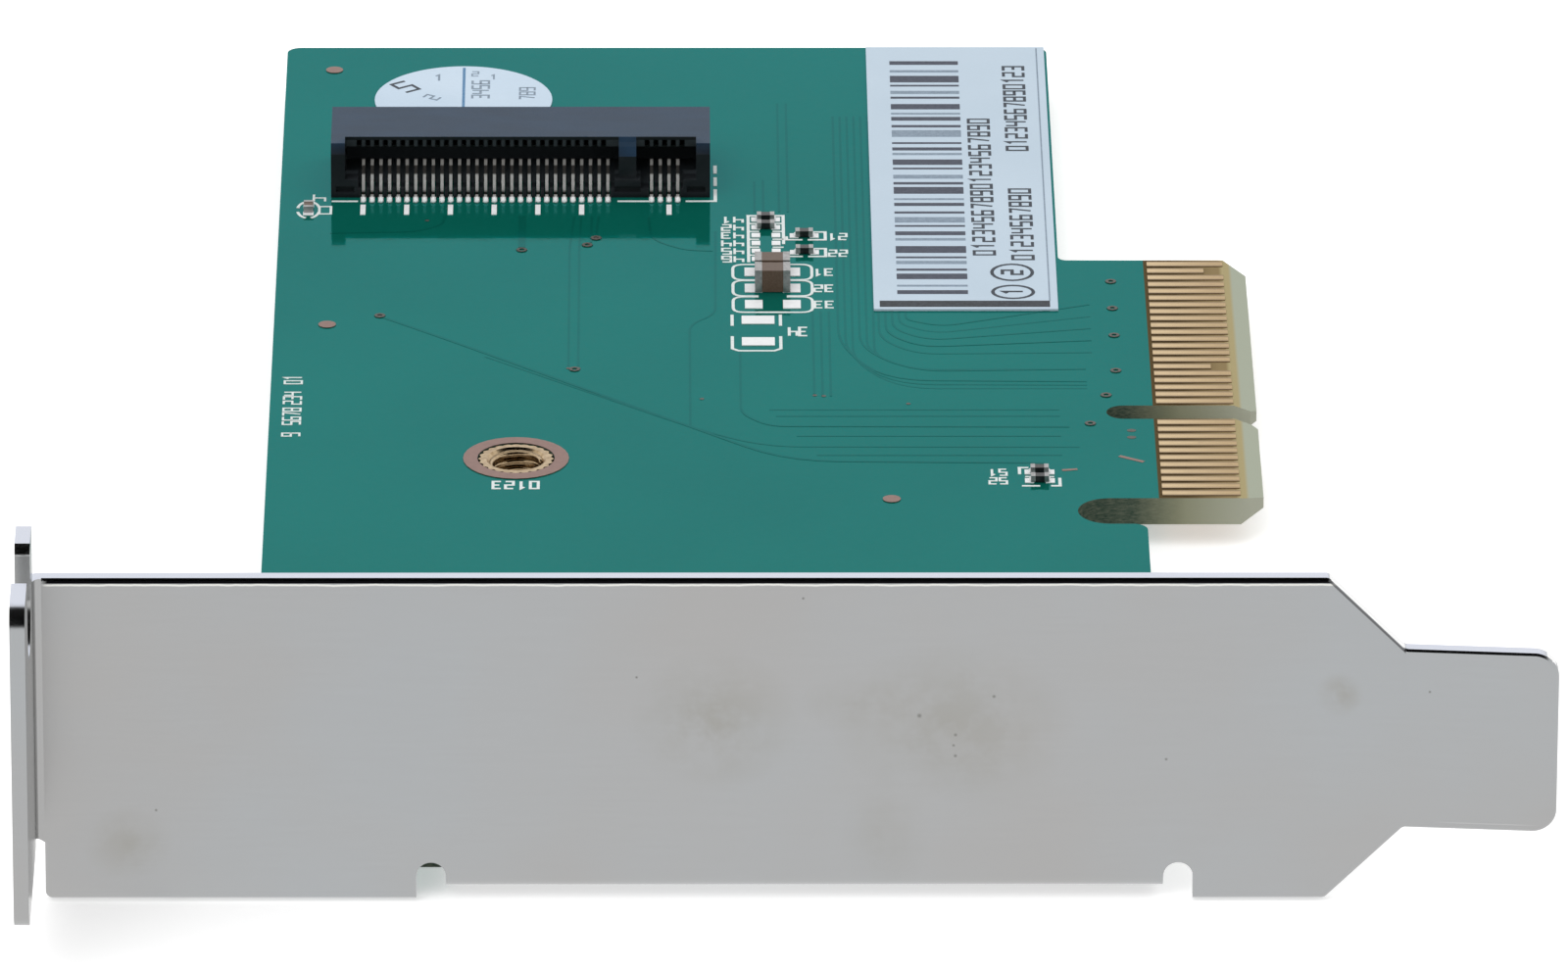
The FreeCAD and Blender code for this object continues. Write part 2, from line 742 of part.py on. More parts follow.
# ---- labels ---------------------------------------------------------------------------
def paper_label():
    x1 = -body_setback - label_edge_gap
    y1 = board_reach - label_far_gap
    return block(x1 - label_width, x1, y1 - label_length, y1, top, top + paper)


def round_sticker():
    return rod(sticker_x, sticker_y, top, top + paper, sticker_radius)


# ---- small parts ----------------------------------------------------------------------
def chip_body(x, y, size, end, turned=False):
    """Ceramic block of a chip part, between its two ends."""
    length, width, height = size
    inner = length - 2 * end
    if turned:
        return slab(x, y, width, inner, top + pad, height)
    return slab(x, y, inner, width, top + pad, height)


def chip_ends(x, y, size, end, turned=False):
    """Metal end blocks of a chip part, a little proud of its body."""
    length, width, height = size
    ends = []
    for side in (-1, 1):
        shift = side * (length - end) / 2
        if turned:
            ends.append(slab(x, y + shift, width + 2 * end_lip, end, top + pad, height + end_lip))
        else:
            ends.append(slab(x + shift, y, end, width + 2 * end_lip, top + pad, height + end_lip))
    return ends


def chip_fillets(x, y, size):
    """Solder wedge against the outer face of each end."""
    length, width, height = size
    wedges = []
    for side in (-1, 1):
        start = x + side * length / 2
        points = [Vector(start, y - width / 2, top + pad),
                  Vector(start + side * fillet_reach, y - width / 2, top + pad),
                  Vector(start, y - width / 2, top + pad + height * fillet_rise)]
        face = Part.Face(Part.makePolygon(points + points[:1]))
        wedges.append(face.extrude(Vector(0, width, 0)))
    return wedges


def pad_pair(x, y, spacing, size, turned=False):
    """Two tinned pads, side by side, or one behind the other when turned."""
    length, width = size
    pads = []
    for side in (-1, 1):
        shift = side * spacing / 2
        if turned:
            pads.append(slab(x, y + shift, length, width, top, pad))
        else:
            pads.append(slab(x + shift, y, length, width, top, pad))
    return pads


def row_places(x, y, pitch, count):
    return [(x, y - i * pitch) for i in range(count)]


stack_places_at = row_places(stack_x, stack_y, stack_pitch, stack_place_count)
single_places_at = row_places(single_x, single_y, single_pitch, 2)
pair_places_at = row_places(pair_x, pair_y, pair_pitch, 2)
bank_places_at = row_places(bank_x, bank_y, bank_pitch, bank_place_count)


def small_bodies(places):
    return group([chip_body(x, y, small_chip, small_end) for x, y in places])


def small_ends(places):
    ends = []
    for x, y in places:
        ends += chip_ends(x, y, small_chip, small_end)
    return group(ends)


def bank_sizes():
    """Places of the fitted bank capacitors with their sizes, nearest the bracket first."""
    fitted = bank_places_at[len(large_chip_heights) - 1::-1]
    return [(x, y, large_chip + (height,)) for (x, y), height in zip(fitted, large_chip_heights)]


def capacitor_bodies():
    return group([chip_body(x, y, size, large_end) for x, y, size in bank_sizes()])


def capacitor_ends():
    ends = []
    for x, y, size in bank_sizes():
        ends += chip_ends(x, y, size, large_end)
    return group(ends)


def solder_fillets():
    wedges = []
    for x, y in stack_places_at[:stack_filled_count] + single_places_at + pair_places_at:
        wedges += chip_fillets(x, y, small_chip)
    return group(wedges)


def component_pads():
    pads = []
    for x, y in stack_places_at[:stack_filled_count] + single_places_at + pair_places_at:
        pads += pad_pair(x, y, stack_pad_spacing, stack_pad)
    for x, y, size in bank_sizes():
        pads += pad_pair(x, y, bank_pad_spacing, bank_pad)
    pads += pad_pair(edge_chip_x, edge_chip_y, stack_pad_spacing, stack_pad[::-1], turned=True)
    return group(pads)


def spare_solder_pads():
    pads = []
    for x, y in stack_places_at[stack_filled_count:]:
        pads += pad_pair(x, y, stack_pad_spacing, stack_pad)
    for x, y in bank_places_at[len(large_chip_heights):]:
        pads += pad_pair(x, y, bank_pad_spacing, bank_pad)
    pads += pad_pair(bulk_x, bulk_y, bulk_pad_spacing, bulk_pad, turned=True)
    return group(pads)


def via_rings():
    places = [(edge_via_x, edge_via_y - i * edge_via_pitch) for i in range(edge_via_count)]
    places += list(field_vias_at)
    places += [(x, socket_front - gap) for x, gap in socket_vias_at]
    return group([copper_ring(x, y, via_radius, via_hole_radius, via_sides) for x, y in places])


def test_points():
    return group([sided_disc(x, y, test_point_radius, test_point_sides, top, pad)
                  for x, y in test_points_at])


# ---- the part -------------------------------------------------------------------------
nodes = {
    "circuit_board": circuit_board(),
    "edge_fingers_component_side": edge_fingers(top, presence_fingers_component),
    "edge_fingers_solder_side": edge_fingers(bottom - plating_thickness, presence_fingers_solder),
    "socket_housing": socket_housing(),
    "socket_lower_contacts": socket_lower_contacts(),
    "socket_upper_contacts": socket_upper_contacts(),
    "socket_hold_downs": socket_hold_downs(),
    "socket_front_pads": socket_front_pads(),
    "socket_rear_pads": socket_rear_pads(),
    "module_nut_short": module_nut(nut_lines["short"]),
    "module_nut_long": module_nut(nut_lines["long"]),
    "nut_ground_rings": nut_ground_rings(),
    "mounting_bracket": mounting_bracket(),
    "bracket_screws": group([bracket_screw(x, y) for x, y in screws_at]),
    "paper_label": paper_label(),
    "round_sticker": round_sticker(),
    "capacitor_bodies": capacitor_bodies(),
    "capacitor_ends": capacitor_ends(),
    "stack_resistor_bodies": small_bodies(stack_places_at[:stack_filled_count]),
    "stack_resistor_ends": small_ends(stack_places_at[:stack_filled_count]),
    "single_resistor_bodies": small_bodies(single_places_at),
    "single_resistor_ends": small_ends(single_places_at),
    "pair_resistor_bodies": small_bodies(pair_places_at),
    "pair_resistor_ends": small_ends(pair_places_at),
    "edge_capacitor_body": chip_body(edge_chip_x, edge_chip_y, small_chip, small_end, turned=True),
    "edge_capacitor_ends": group(chip_ends(edge_chip_x, edge_chip_y, small_chip, small_end,
                                           turned=True)),
    "solder_fillets": solder_fillets(),
    "component_pads": component_pads(),
    "spare_solder_pads": spare_solder_pads(),
    "test_points": test_points(),
    "via_rings": via_rings(),
}

os.makedirs("parts", exist_ok=True)
for name, shape in nodes.items():
    shape.exportStep("parts/" + name + ".step")
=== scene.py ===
import bpy
import bmesh
import json
import math
from mathutils import Matrix, Vector


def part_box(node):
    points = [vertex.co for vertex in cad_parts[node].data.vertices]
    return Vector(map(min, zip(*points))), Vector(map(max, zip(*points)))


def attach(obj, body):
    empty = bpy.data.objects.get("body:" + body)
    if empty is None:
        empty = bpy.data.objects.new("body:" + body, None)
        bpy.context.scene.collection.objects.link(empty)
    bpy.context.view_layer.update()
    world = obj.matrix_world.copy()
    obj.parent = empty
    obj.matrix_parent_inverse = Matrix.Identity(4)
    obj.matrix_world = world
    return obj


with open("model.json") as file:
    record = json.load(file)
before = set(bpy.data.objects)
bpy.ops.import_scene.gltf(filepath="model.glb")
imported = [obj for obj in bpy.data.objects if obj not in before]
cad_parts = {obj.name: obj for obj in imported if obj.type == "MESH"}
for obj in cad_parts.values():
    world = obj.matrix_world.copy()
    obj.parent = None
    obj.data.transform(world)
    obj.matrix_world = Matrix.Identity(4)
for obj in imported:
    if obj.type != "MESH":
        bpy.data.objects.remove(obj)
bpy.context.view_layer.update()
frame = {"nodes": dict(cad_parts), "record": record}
nodes = frame["nodes"]
scene = bpy.context.scene

MM = 0.001
TURN = 2.0 * math.pi


# ---- places, in millimetres, read from the frame --------------------------------------------
def low_high(node):
    low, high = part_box(node)
    return low / MM, high / MM


def middle(low, high):
    """Centre of a box seen from above, as x, y."""
    return (low.x + high.x) / 2, (low.y + high.y) / 2


board_low, board_high = low_high("circuit_board")
socket_low, socket_high = low_high("socket_housing")
label_low, label_high = low_high("paper_label")
sticker_low, sticker_high = low_high("round_sticker")
fingers_low, fingers_high = low_high("edge_fingers_component_side")
short_nut_low, short_nut_high = low_high("module_nut_short")
long_nut_low, long_nut_high = low_high("module_nut_long")
bracket_low, bracket_high = low_high("mounting_bracket")
front_feet_low = low_high("socket_lower_contacts")[0]
rear_feet_low, rear_feet_high = low_high("socket_upper_contacts")
caps_low, caps_high = low_high("capacitor_bodies")
pair_low, pair_high = low_high("pair_resistor_bodies")
singles_low, singles_high = low_high("single_resistor_bodies")
stack_low, stack_high = low_high("stack_resistor_bodies")
edge_chip_low, edge_chip_high = low_high("edge_capacitor_body")
spare_low = low_high("spare_solder_pads")[0]

BOARD_TOP = board_high.z
BOARD_BOTTOM = board_low.z
MASK_EDGE = fingers_low.x - 0.2

# thicknesses
INK = 0.02                       # the board's printed ink
PRINT = 0.01                     # the ink on label and sticker
TRACE = 0.006                    # a covered trace
DOT = 0.012                      # a covered hole's dot
BARE = 0.015                     # a bare copper mark
PAD = 0.05                       # a tinned pad
LINE_STEP = 0.0011               # these three keep strips that cross off one another's top
DIGIT_STEP = 0.0007
TRACE_STEP = 0.0004

# rows of like things
FINGER_PITCH = 1.0
FINGER_WIDTH = 0.7
CONTACT_PITCH = 0.5
CONTACT_HALF = 0.1               # half the width of a contact
STACK_PITCH = 1.18
CAPACITOR_PITCH = 2.39
CHIP_HALF = 0.25                 # half the width of a small chip
CAPACITOR_HALF = 0.625           # half the width of a large one
stack_rows = [stack_high.y - CHIP_HALF - STACK_PITCH * row for row in range(6)]
capacitor_rows = [caps_high.y - CAPACITOR_HALF - CAPACITOR_PITCH * row for row in range(3)]
single_rows = (singles_high.y - CHIP_HALF, singles_low.y + CHIP_HALF)
edge_chip_x, edge_chip_y = middle(edge_chip_low, edge_chip_high)

# the bracket's flat face, which its own box does not give
SHEET = 0.8
BEND_RADIUS = 0.45
FACE_WIDTH = 18.32
TAIL_LENGTH = 8.02
SHOULDER = 4.065
bracket_face = -59.05            # y of the outer face
bracket_fold = bracket_low.x + SHEET + BEND_RADIUS
face_top = bracket_low.z + FACE_WIDTH
tail_start = bracket_high.x - TAIL_LENGTH
slope_sum = tail_start - SHOULDER + face_top   # x + z on the slanted edge between face and tail


# ---- node materials -------------------------------------------------------------------------
class Shade:
    """One node material, with its textures measured in millimetres of the object."""

    def __init__(self, name, roughness=0.5, metallic=0.0, specular=0.5):
        self.material = bpy.data.materials.new(name)
        self.material.use_nodes = True
        self.tree = self.material.node_tree
        self.surface = self.tree.nodes["Principled BSDF"]
        self.surface.inputs["Roughness"].default_value = roughness
        self.surface.inputs["Metallic"].default_value = metallic
        self.surface.inputs["Specular IOR Level"].default_value = specular
        coordinates = self.tree.nodes.new("ShaderNodeTexCoord")
        scale = self.tree.nodes.new("ShaderNodeVectorMath")
        scale.operation = "SCALE"
        scale.inputs["Scale"].default_value = 1 / MM
        self.tree.links.new(coordinates.outputs["Object"], scale.inputs[0])
        self.place = scale.outputs[0]
        self.normal = coordinates.outputs["Normal"]

    def put(self, socket, value):
        """Links another node's socket, or sets a number or a colour."""
        if isinstance(value, bpy.types.NodeSocket):
            self.tree.links.new(value, socket)
        elif socket.type == "RGBA":
            socket.default_value = (*value, 1.0)
        else:
            socket.default_value = value

    def parts(self, vector):
        node = self.tree.nodes.new("ShaderNodeSeparateXYZ")
        self.put(node.inputs[0], vector)
        return node.outputs

    def stretch(self, x, y, z):
        """The place with its axes scaled, for a texture that runs one way."""
        node = self.tree.nodes.new("ShaderNodeMapping")
        self.put(node.inputs["Vector"], self.place)
        node.inputs["Scale"].default_value = (x, y, z)
        return node.outputs[0]

    def noise(self, scale, detail=3.0, rough=0.5, where=None):
        node = self.tree.nodes.new("ShaderNodeTexNoise")
        self.put(node.inputs["Vector"], where or self.place)
        node.inputs["Scale"].default_value = scale
        node.inputs["Detail"].default_value = detail
        node.inputs["Roughness"].default_value = rough
        return node.outputs["Fac"]

    def math(self, operation, first, second=0.0, clamp=False):
        node = self.tree.nodes.new("ShaderNodeMath")
        node.operation = operation
        node.use_clamp = clamp
        self.put(node.inputs[0], first)
        self.put(node.inputs[1], second)
        return node.outputs[0]

    def product(self, result, *others):
        """All the values multiplied together."""
        for other in others:
            result = self.math("MULTIPLY", result, other)
        return result

    def span(self, value, start, end, low=0.0, high=1.0):
        """value from start to end becomes low to high, held at both ends."""
        node = self.tree.nodes.new("ShaderNodeMapRange")
        self.put(node.inputs["Value"], value)
        node.inputs["From Min"].default_value = start
        node.inputs["From Max"].default_value = end
        node.inputs["To Min"].default_value = low
        node.inputs["To Max"].default_value = high
        return node.outputs["Result"]

    def mix(self, share, first, second):
        node = self.tree.nodes.new("ShaderNodeMix")
        node.data_type = "RGBA"
        self.put(node.inputs["Factor"], share)
        colours = [socket for socket in node.inputs if socket.type == "RGBA"]
        self.put(colours[0], first)
        self.put(colours[1], second)
        return [socket for socket in node.outputs if socket.type == "RGBA"][0]

    def vector(self, operation, first, second=(0.0, 0.0, 0.0)):
        node = self.tree.nodes.new("ShaderNodeVectorMath")
        node.operation = operation
        self.put(node.inputs[0], first)
        self.put(node.inputs[1], second)
        return node.outputs

    def spot(self, place, reach, weight):
        """1 at a place, falling to 0 at reach millimetres; weight scales each axis."""
        away = self.vector("SUBTRACT", self.place, place)[0]
        away = self.vector("MULTIPLY", away, weight)[0]
        distance = self.vector("LENGTH", away)["Value"]
        return self.span(distance, reach, 0.0)

    def bump(self, height, distance, strength=1.0):
        node = self.tree.nodes.new("ShaderNodeBump")
        self.put(node.inputs["Height"], height)
        node.inputs["Distance"].default_value = distance * MM
        node.inputs["Strength"].default_value = strength
        self.put(self.surface.inputs["Normal"], node.outputs[0])

    def colour(self, value):
        self.put(self.surface.inputs["Base Color"], value)

    def rough(self, value):
        self.put(self.surface.inputs["Roughness"], value)


def mask_finish(shade, deep, light, covered=None):
    """Green solder mask, clouded between two greens; covered is 1 where there is mask."""
    cloud = shade.noise(0.045, 3.0)
    fine = shade.noise(2.2, 2.0)
    tone = shade.mix(shade.span(cloud, 0.3, 0.7), deep, light)
    shade.surface.inputs["Specular Tint"].default_value = (0.25, 0.70, 1.0, 1.0)
    for name, amount in (("Metallic", 0.45), ("Coat Weight", 0.20)):
        share = amount if covered is None else shade.math("MULTIPLY", covered, amount)
        shade.put(shade.surface.inputs[name], share)
    return shade.mix(shade.span(fine, 0.2, 0.8, 0.0, 0.06), tone, (0.03, 0.26, 0.22))


def board_material():
    shade = Shade("board_mask", specular=0.0)
    x, y = shade.parts(shade.place)[:2]
    normal_z = shade.parts(shade.normal)[2]
    flat = shade.math("GREATER_THAN", shade.math("ABSOLUTE", normal_z), 0.5)
    bare = shade.math("GREATER_THAN", x, MASK_EDGE)
    covered = shade.math("MULTIPLY", flat, shade.math("SUBTRACT", 1.0, bare))
    mask = mask_finish(shade, (0.003, 0.160, 0.118), (0.004, 0.180, 0.134), covered)
    # bare laminate between the fingers, paler toward the chamfered edge
    weave_x, weave_y = (shade.math("SINE", shade.math("MULTIPLY", along, 12.0)) for along in (x, y))
    weave = shade.span(shade.math("MULTIPLY", weave_x, weave_y), -1.0, 1.0, 0.0, 0.25)
    laminate = shade.mix(weave, (0.105, 0.072, 0.034), (0.15, 0.105, 0.052))
    laminate = shade.mix(shade.span(x, fingers_low.x + 1.4, -1.9), laminate, (0.29, 0.215, 0.110))
    laminate = shade.mix(shade.span(x, -1.55, -1.35), laminate, (0.44, 0.37, 0.20))
    laminate = shade.mix(shade.span(x, -1.0, -0.8), laminate, (0.42, 0.45, 0.36))
    # cut sides, with the fibres of the glass cloth
    fibres = shade.noise(1.0, 4.0, 0.7, shade.stretch(3.0, 3.0, 14.0))
    core = shade.mix(shade.span(fibres, 0.35, 0.7), (0.030, 0.060, 0.045), (0.16, 0.18, 0.13))
    core = shade.mix(shade.span(x, MASK_EDGE - 1.5, MASK_EDGE + 1.5), core, (0.30, 0.30, 0.20))
    core = shade.mix(shade.span(x, MASK_EDGE + 1.0, -0.6), core, (0.44, 0.45, 0.36))
    face = shade.mix(bare, mask, laminate)
    shade.colour(shade.mix(flat, core, face))
    shade.rough(shade.span(covered, 0.0, 1.0, 0.55, 0.08))
    ripple = shade.noise(0.9, 3.0, 0.55)
    shade.bump(shade.math("ADD", ripple, shade.math("MULTIPLY", fibres, 0.1)), 0.014, 0.5)
    return shade.material


def trace_material():
    """Mask over a copper track, a shade deeper than the mask beside it."""
    shade = Shade("covered_trace", roughness=0.12, specular=0.0)
    shade.colour(mask_finish(shade, (0.003, 0.132, 0.098), (0.003, 0.150, 0.112)))
    shade.bump(shade.noise(3.0), 0.006, 0.3)
    return shade.material


def gold_material():
    shade = Shade("finger_gold", roughness=0.28, metallic=1.0)
    streak = shade.noise(1.0, 3.0, 0.6, shade.stretch(0.5, 14.0, 1.0))
    worn = shade.noise(0.7, 4.0, 0.7)
    x, y = shade.parts(shade.place)[:2]
    # painted highlight: the fingers are brighter toward their inner ends and darker toward the board's edge
    near_end = shade.mix(shade.span(streak, 0.3, 0.7), (0.66, 0.485, 0.262), (0.76, 0.58, 0.345))
    far_end = shade.mix(shade.span(streak, 0.3, 0.7), (0.48, 0.335, 0.162), (0.58, 0.415, 0.215))
    tone = shade.mix(shade.span(x, fingers_low.x + 0.4, fingers_high.x - 0.6), near_end, far_end)
    # painted shade: darker toward both sides of each finger, leaving a painted highlight along its middle
    across = shade.math("SUBTRACT", y, fingers_low.y + FINGER_WIDTH / 2)
    crown_highlight = shade.math("COSINE", shade.math("MULTIPLY", across, TURN / FINGER_PITCH))
    tone = shade.mix(shade.span(crown_highlight, 0.75, -0.55), tone, (0.27, 0.180, 0.092))
    shade.colour(shade.mix(shade.span(worn, 0.5, 0.75, 0.0, 0.25), tone, (0.34, 0.235, 0.13)))
    shade.rough(shade.span(streak, 0.2, 0.8, 0.22, 0.40))
    shade.bump(streak, 0.01, 0.4)
    return shade.material


def plastic_material():
    shade = Shade("socket_plastic", roughness=0.34, specular=0.21)
    grain = shade.noise(14.0, 4.0, 0.6)
    flow = shade.noise(0.8, 3.0, 0.5, shade.stretch(0.4, 1.4, 1.0))
    normal_z = shade.parts(shade.normal)[2]
    upward = shade.span(normal_z, 0.6, 0.95)
    body = shade.mix(shade.span(flow, 0.3, 0.7), (0.010, 0.012, 0.014), (0.017, 0.020, 0.023))
    # painted sheen: faces that look up, high on the housing, take a bluish slate colour for the light they
    # mirror
    painted_roof_sheen = shade.mix(shade.span(flow, 0.3, 0.7), (0.004, 0.026, 0.060), (0.007, 0.035, 0.078))
    x, y, z = shade.parts(shade.place)
    high = shade.math("GREATER_THAN", z, BOARD_TOP + 1.2)
    # painted light: the inside of the mouth is painted a lighter grey than the rest of the body
    mouth = shade.product(shade.math("GREATER_THAN", y, socket_low.y + 0.9),
                          shade.math("LESS_THAN", y, socket_high.y - 0.4),
                          shade.math("GREATER_THAN", x, socket_low.x + 0.3),
                          shade.math("LESS_THAN", x, socket_high.x - 0.3),
                          shade.math("LESS_THAN", z, socket_high.z - 0.2))
    body = shade.mix(mouth, body, (0.034, 0.041, 0.046))
    shade.colour(shade.mix(shade.math("MULTIPLY", upward, high), body, painted_roof_sheen))
    shade.rough(shade.span(grain, 0.2, 0.8, 0.28, 0.46))
    shade.bump(grain, 0.012, 0.5)
    return shade.material


def metal_material(name, dark, light, roughness, scale=2.0, depth=0.006, metallic=1.0):
    """Plain metal, a little uneven in tone and polish."""
    shade = Shade(name, roughness=roughness, metallic=metallic)
    grain = shade.noise(scale, 4.0, 0.6)
    shade.colour(shade.mix(shade.span(grain, 0.3, 0.7), dark, light))
    shade.rough(shade.span(grain, 0.2, 0.8, roughness * 0.8, roughness * 1.3))
    shade.bump(grain, depth, 0.5)
    return shade.material


def contact_material():
    """Sprung contacts: bright tin where they stand in the light of the mouth, with painted shade darkening
    them inside.
    """
    shade = Shade("contact_metal", roughness=0.3, metallic=0.6)
    y, z = shade.parts(shade.place)[1:]
    rise = shade.math("SUBTRACT", z, BOARD_TOP)
    inward = shade.math("SUBTRACT", y, socket_low.y)
    grain = shade.noise(5.0, 3.0, 0.6)
    bright = shade.mix(shade.span(grain, 0.3, 0.7), (0.80, 0.79, 0.76), (0.92, 0.91, 0.89))
    # painted shade: dark low inside the mouth and again high up under the housing's top, bright between
    painted_contact_shade = (0.030, 0.028, 0.026)
    tone = shade.mix(shade.span(rise, 0.28, 0.42), painted_contact_shade, bright)
    tone = shade.mix(shade.span(rise, 1.16, 1.26), tone, (0.075, 0.07, 0.065))
    # painted highlight where the bent tips catch light inside the mouth, and painted shade behind them
    tip_highlight = shade.math("MULTIPLY", shade.span(inward, 0.98, 1.12), shade.span(inward, 1.72, 1.6))
    tone = shade.mix(tip_highlight, tone, (0.58, 0.57, 0.54))
    deep = shade.math("MULTIPLY", shade.span(inward, 1.72, 1.78), shade.span(rise, 0.3, 0.5))
    tone = shade.mix(deep, tone, (0.010, 0.010, 0.010))
    # the feet outside the housing are kept bright, clear of the painted shade
    outside = shade.math("MAXIMUM", shade.span(inward, 0.05, 0.0),
                         shade.span(y, socket_high.y - 0.1, socket_high.y))
    foot = shade.math("MULTIPLY", shade.span(rise, 0.26, 0.22), outside)
    shade.colour(shade.mix(foot, tone, bright))
    shade.bump(grain, 0.005, 0.4)
    return shade.material


def painted_edge_reflections(shade, x, z, tone):
    """Painted reflections on the bracket's edges: dark and bright lines along its rim, and its pale slanted
    edge.

    Gives back the tone, and a value that is 1 where the face looks outward.
    """
    normal = shade.parts(shade.normal)
    outward = shade.span(normal[1], -0.5, -0.8)
    clear_of_bend = shade.span(x, bracket_fold, bracket_fold + 0.3)
    clear_of_tail = shade.span(x, tail_start, tail_start - 0.5)
    # painted reflection: faces that look up are painted a pale blue-white
    tone = shade.mix(shade.span(normal[2], 0.8, 0.98), tone, (0.68, 0.71, 0.80))
    # painted reflection: a dark line along the rolled top edge of the face
    rim = shade.product(shade.span(z, face_top - 0.30, face_top - 0.25), outward,
                        shade.span(z, face_top, face_top - 0.06), clear_of_bend, clear_of_tail)
    tone = shade.mix(rim, tone, (0.004, 0.004, 0.005))
    # painted highlight: a bright line just under the dark one, wandering a little
    wave = shade.span(shade.noise(0.45, 3.0, 0.6, shade.stretch(1.0, 0.0, 0.0)), 0.3, 0.7, -0.04, 0.05)
    under = shade.math("ADD", z, wave)
    lip_highlight = shade.product(shade.span(under, face_top - 0.44, face_top - 0.38), outward,
                        shade.span(under, face_top - 0.29, face_top - 0.32), clear_of_bend, clear_of_tail,
                        shade.math("SUBTRACT", 1.0, rim))
    tone = shade.mix(lip_highlight, tone, (0.82, 0.82, 0.78))
    # painted reflection: a dark band along the slanted edge between face and tail
    inside = shade.math("SUBTRACT", slope_sum, shade.math("ADD", x, z))
    slant_reflection = shade.product(shade.span(inside, 0.24, 0.16), shade.span(inside, 0.02, 0.06),
                          shade.math("GREATER_THAN", x, tail_start - SHOULDER - 0.135),
                          shade.math("LESS_THAN", x, tail_start), outward)
    tone = shade.mix(slant_reflection, tone, (0.10, 0.10, 0.105))
    # painted highlight: faces that lean up and to the right are painted near white
    leaning_highlight = shade.product(shade.math("GREATER_THAN", normal[0], 0.5),
                            shade.math("GREATER_THAN", normal[2], 0.5))
    return shade.mix(leaning_highlight, tone, (0.96, 0.96, 0.96)), outward


def nickel_wear(shade, x, z, tone, outward):
    """Soft smears, small dark specks and a thin scratch on the bracket's face."""
    smears = (                       # x, z, reach, stretch in x and z, strength
        (-30.4, 8.2, 4.6, 1.0, 1.1, 0.62),
        (-18.1, 8.2, 4.6, 0.7, 1.0, 0.55),
        (-23.0, 9.2, 2.6, 0.8, 1.6, 0.35),
        (-16.0, 5.6, 3.0, 0.8, 1.0, 0.20),
        (-21.5, 1.6, 3.0, 1.2, 0.8, 0.30),
        (2.3, 9.7, 1.3, 1.0, 1.0, 0.75),
        (-61.2, 1.2, 2.2, 0.9, 1.0, 0.55),
    )
    patch = shade.noise(0.55, 4.0, 0.6)
    for across, up, reach, wide, tall, strength in smears:
        near = shade.spot((across, bracket_face, up), reach, (wide, 0.0, tall))
        amount = shade.math("MULTIPLY", near, shade.span(patch, 0.3, 0.6, 0.1, strength), clamp=True)
        tone = shade.mix(amount, tone, (0.345, 0.335, 0.300))
    specks = (                       # x, z, reach
        (-19.7, 8.5, 0.16), (-15.8, 9.6, 0.12), (-17.8, 7.4, 0.12), (-17.9, 6.8, 0.10), (-17.8, 6.2, 0.12),
        (-6.75, 6.0, 0.10), (-25.8, 15.2, 0.10), (-34.5, 10.7, 0.09), (-59.7, 3.1, 0.10), (7.0, 9.9, 0.09),
    )
    for across, up, reach in specks:
        dot = shade.spot((across, bracket_face, up), reach, (1.0, 0.0, 1.0))
        tone = shade.mix(shade.span(dot, 0.0, 0.7, 0.0, 0.75), tone, (0.20, 0.20, 0.185))
    away = shade.math("ABSOLUTE", shade.math("SUBTRACT", z, 2.44))
    scratch = shade.product(shade.span(away, 0.045, 0.015, 0.0, 0.35), shade.span(x, 7.2, 8.6),
                            shade.span(x, 12.9, 11.5), outward)
    return shade.mix(scratch, tone, (0.60, 0.60, 0.59))


def nickel_material():
    shade = Shade("bracket_nickel", roughness=0.2, metallic=1.0)
    place = shade.parts(shade.place)
    x, z = place[0], place[2]
    cloud = shade.noise(0.05, 3.0, 0.55)
    rolled = shade.noise(0.6, 4.0, 0.6, shade.stretch(0.5, 1.0, 9.0))
    tone = shade.mix(shade.span(cloud, 0.35, 0.65), (0.432, 0.430, 0.426), (0.440, 0.456, 0.466))
    tone = shade.mix(shade.span(rolled, 0.25, 0.8, 0.0, 0.10), tone, (0.36, 0.36, 0.355))
    tone, outward = painted_edge_reflections(shade, x, z, tone)
    shade.colour(nickel_wear(shade, x, z, tone, outward))
    shade.rough(shade.span(cloud, 0.3, 0.7, 0.20, 0.26))
    shade.bump(shade.math("ADD", rolled, shade.noise(0.16, 2.0)), 0.010, 0.25)
    return shade.material


def paper_material(name, pale, deep):
    shade = Shade(name, roughness=0.42, specular=0.35)
    fibre = shade.noise(6.0, 5.0, 0.65)
    cloud = shade.noise(0.12, 2.0)
    tone = shade.mix(shade.span(cloud, 0.3, 0.7), pale, deep)
    shade.colour(shade.mix(shade.span(fibre, 0.3, 0.8, 0.0, 0.12), tone, (0.42, 0.47, 0.52)))
    shade.bump(shade.math("ADD", fibre, shade.math("MULTIPLY", cloud, 4.0)), 0.012, 0.35)
    return shade.material


def ink_material(name, dark, light):
    """Printed ink with thin places."""
    shade = Shade(name, specular=0.3)
    thin = shade.noise(5.0, 4.0, 0.7)
    shade.colour(shade.mix(shade.span(thin, 0.35, 0.75), dark, light))
    shade.bump(thin, 0.006, 0.4)
    return shade.material


def ceramic_material(name, dark, light, roughness=0.45):
    shade = Shade(name, roughness)
    speckle = shade.noise(9.0, 5.0, 0.7)
    shade.colour(shade.mix(shade.span(speckle, 0.3, 0.7), dark, light))
    shade.rough(shade.span(speckle, 0.2, 0.8, roughness * 0.8, roughness * 1.2))
    shade.bump(speckle, 0.012, 0.4)
    return shade.material


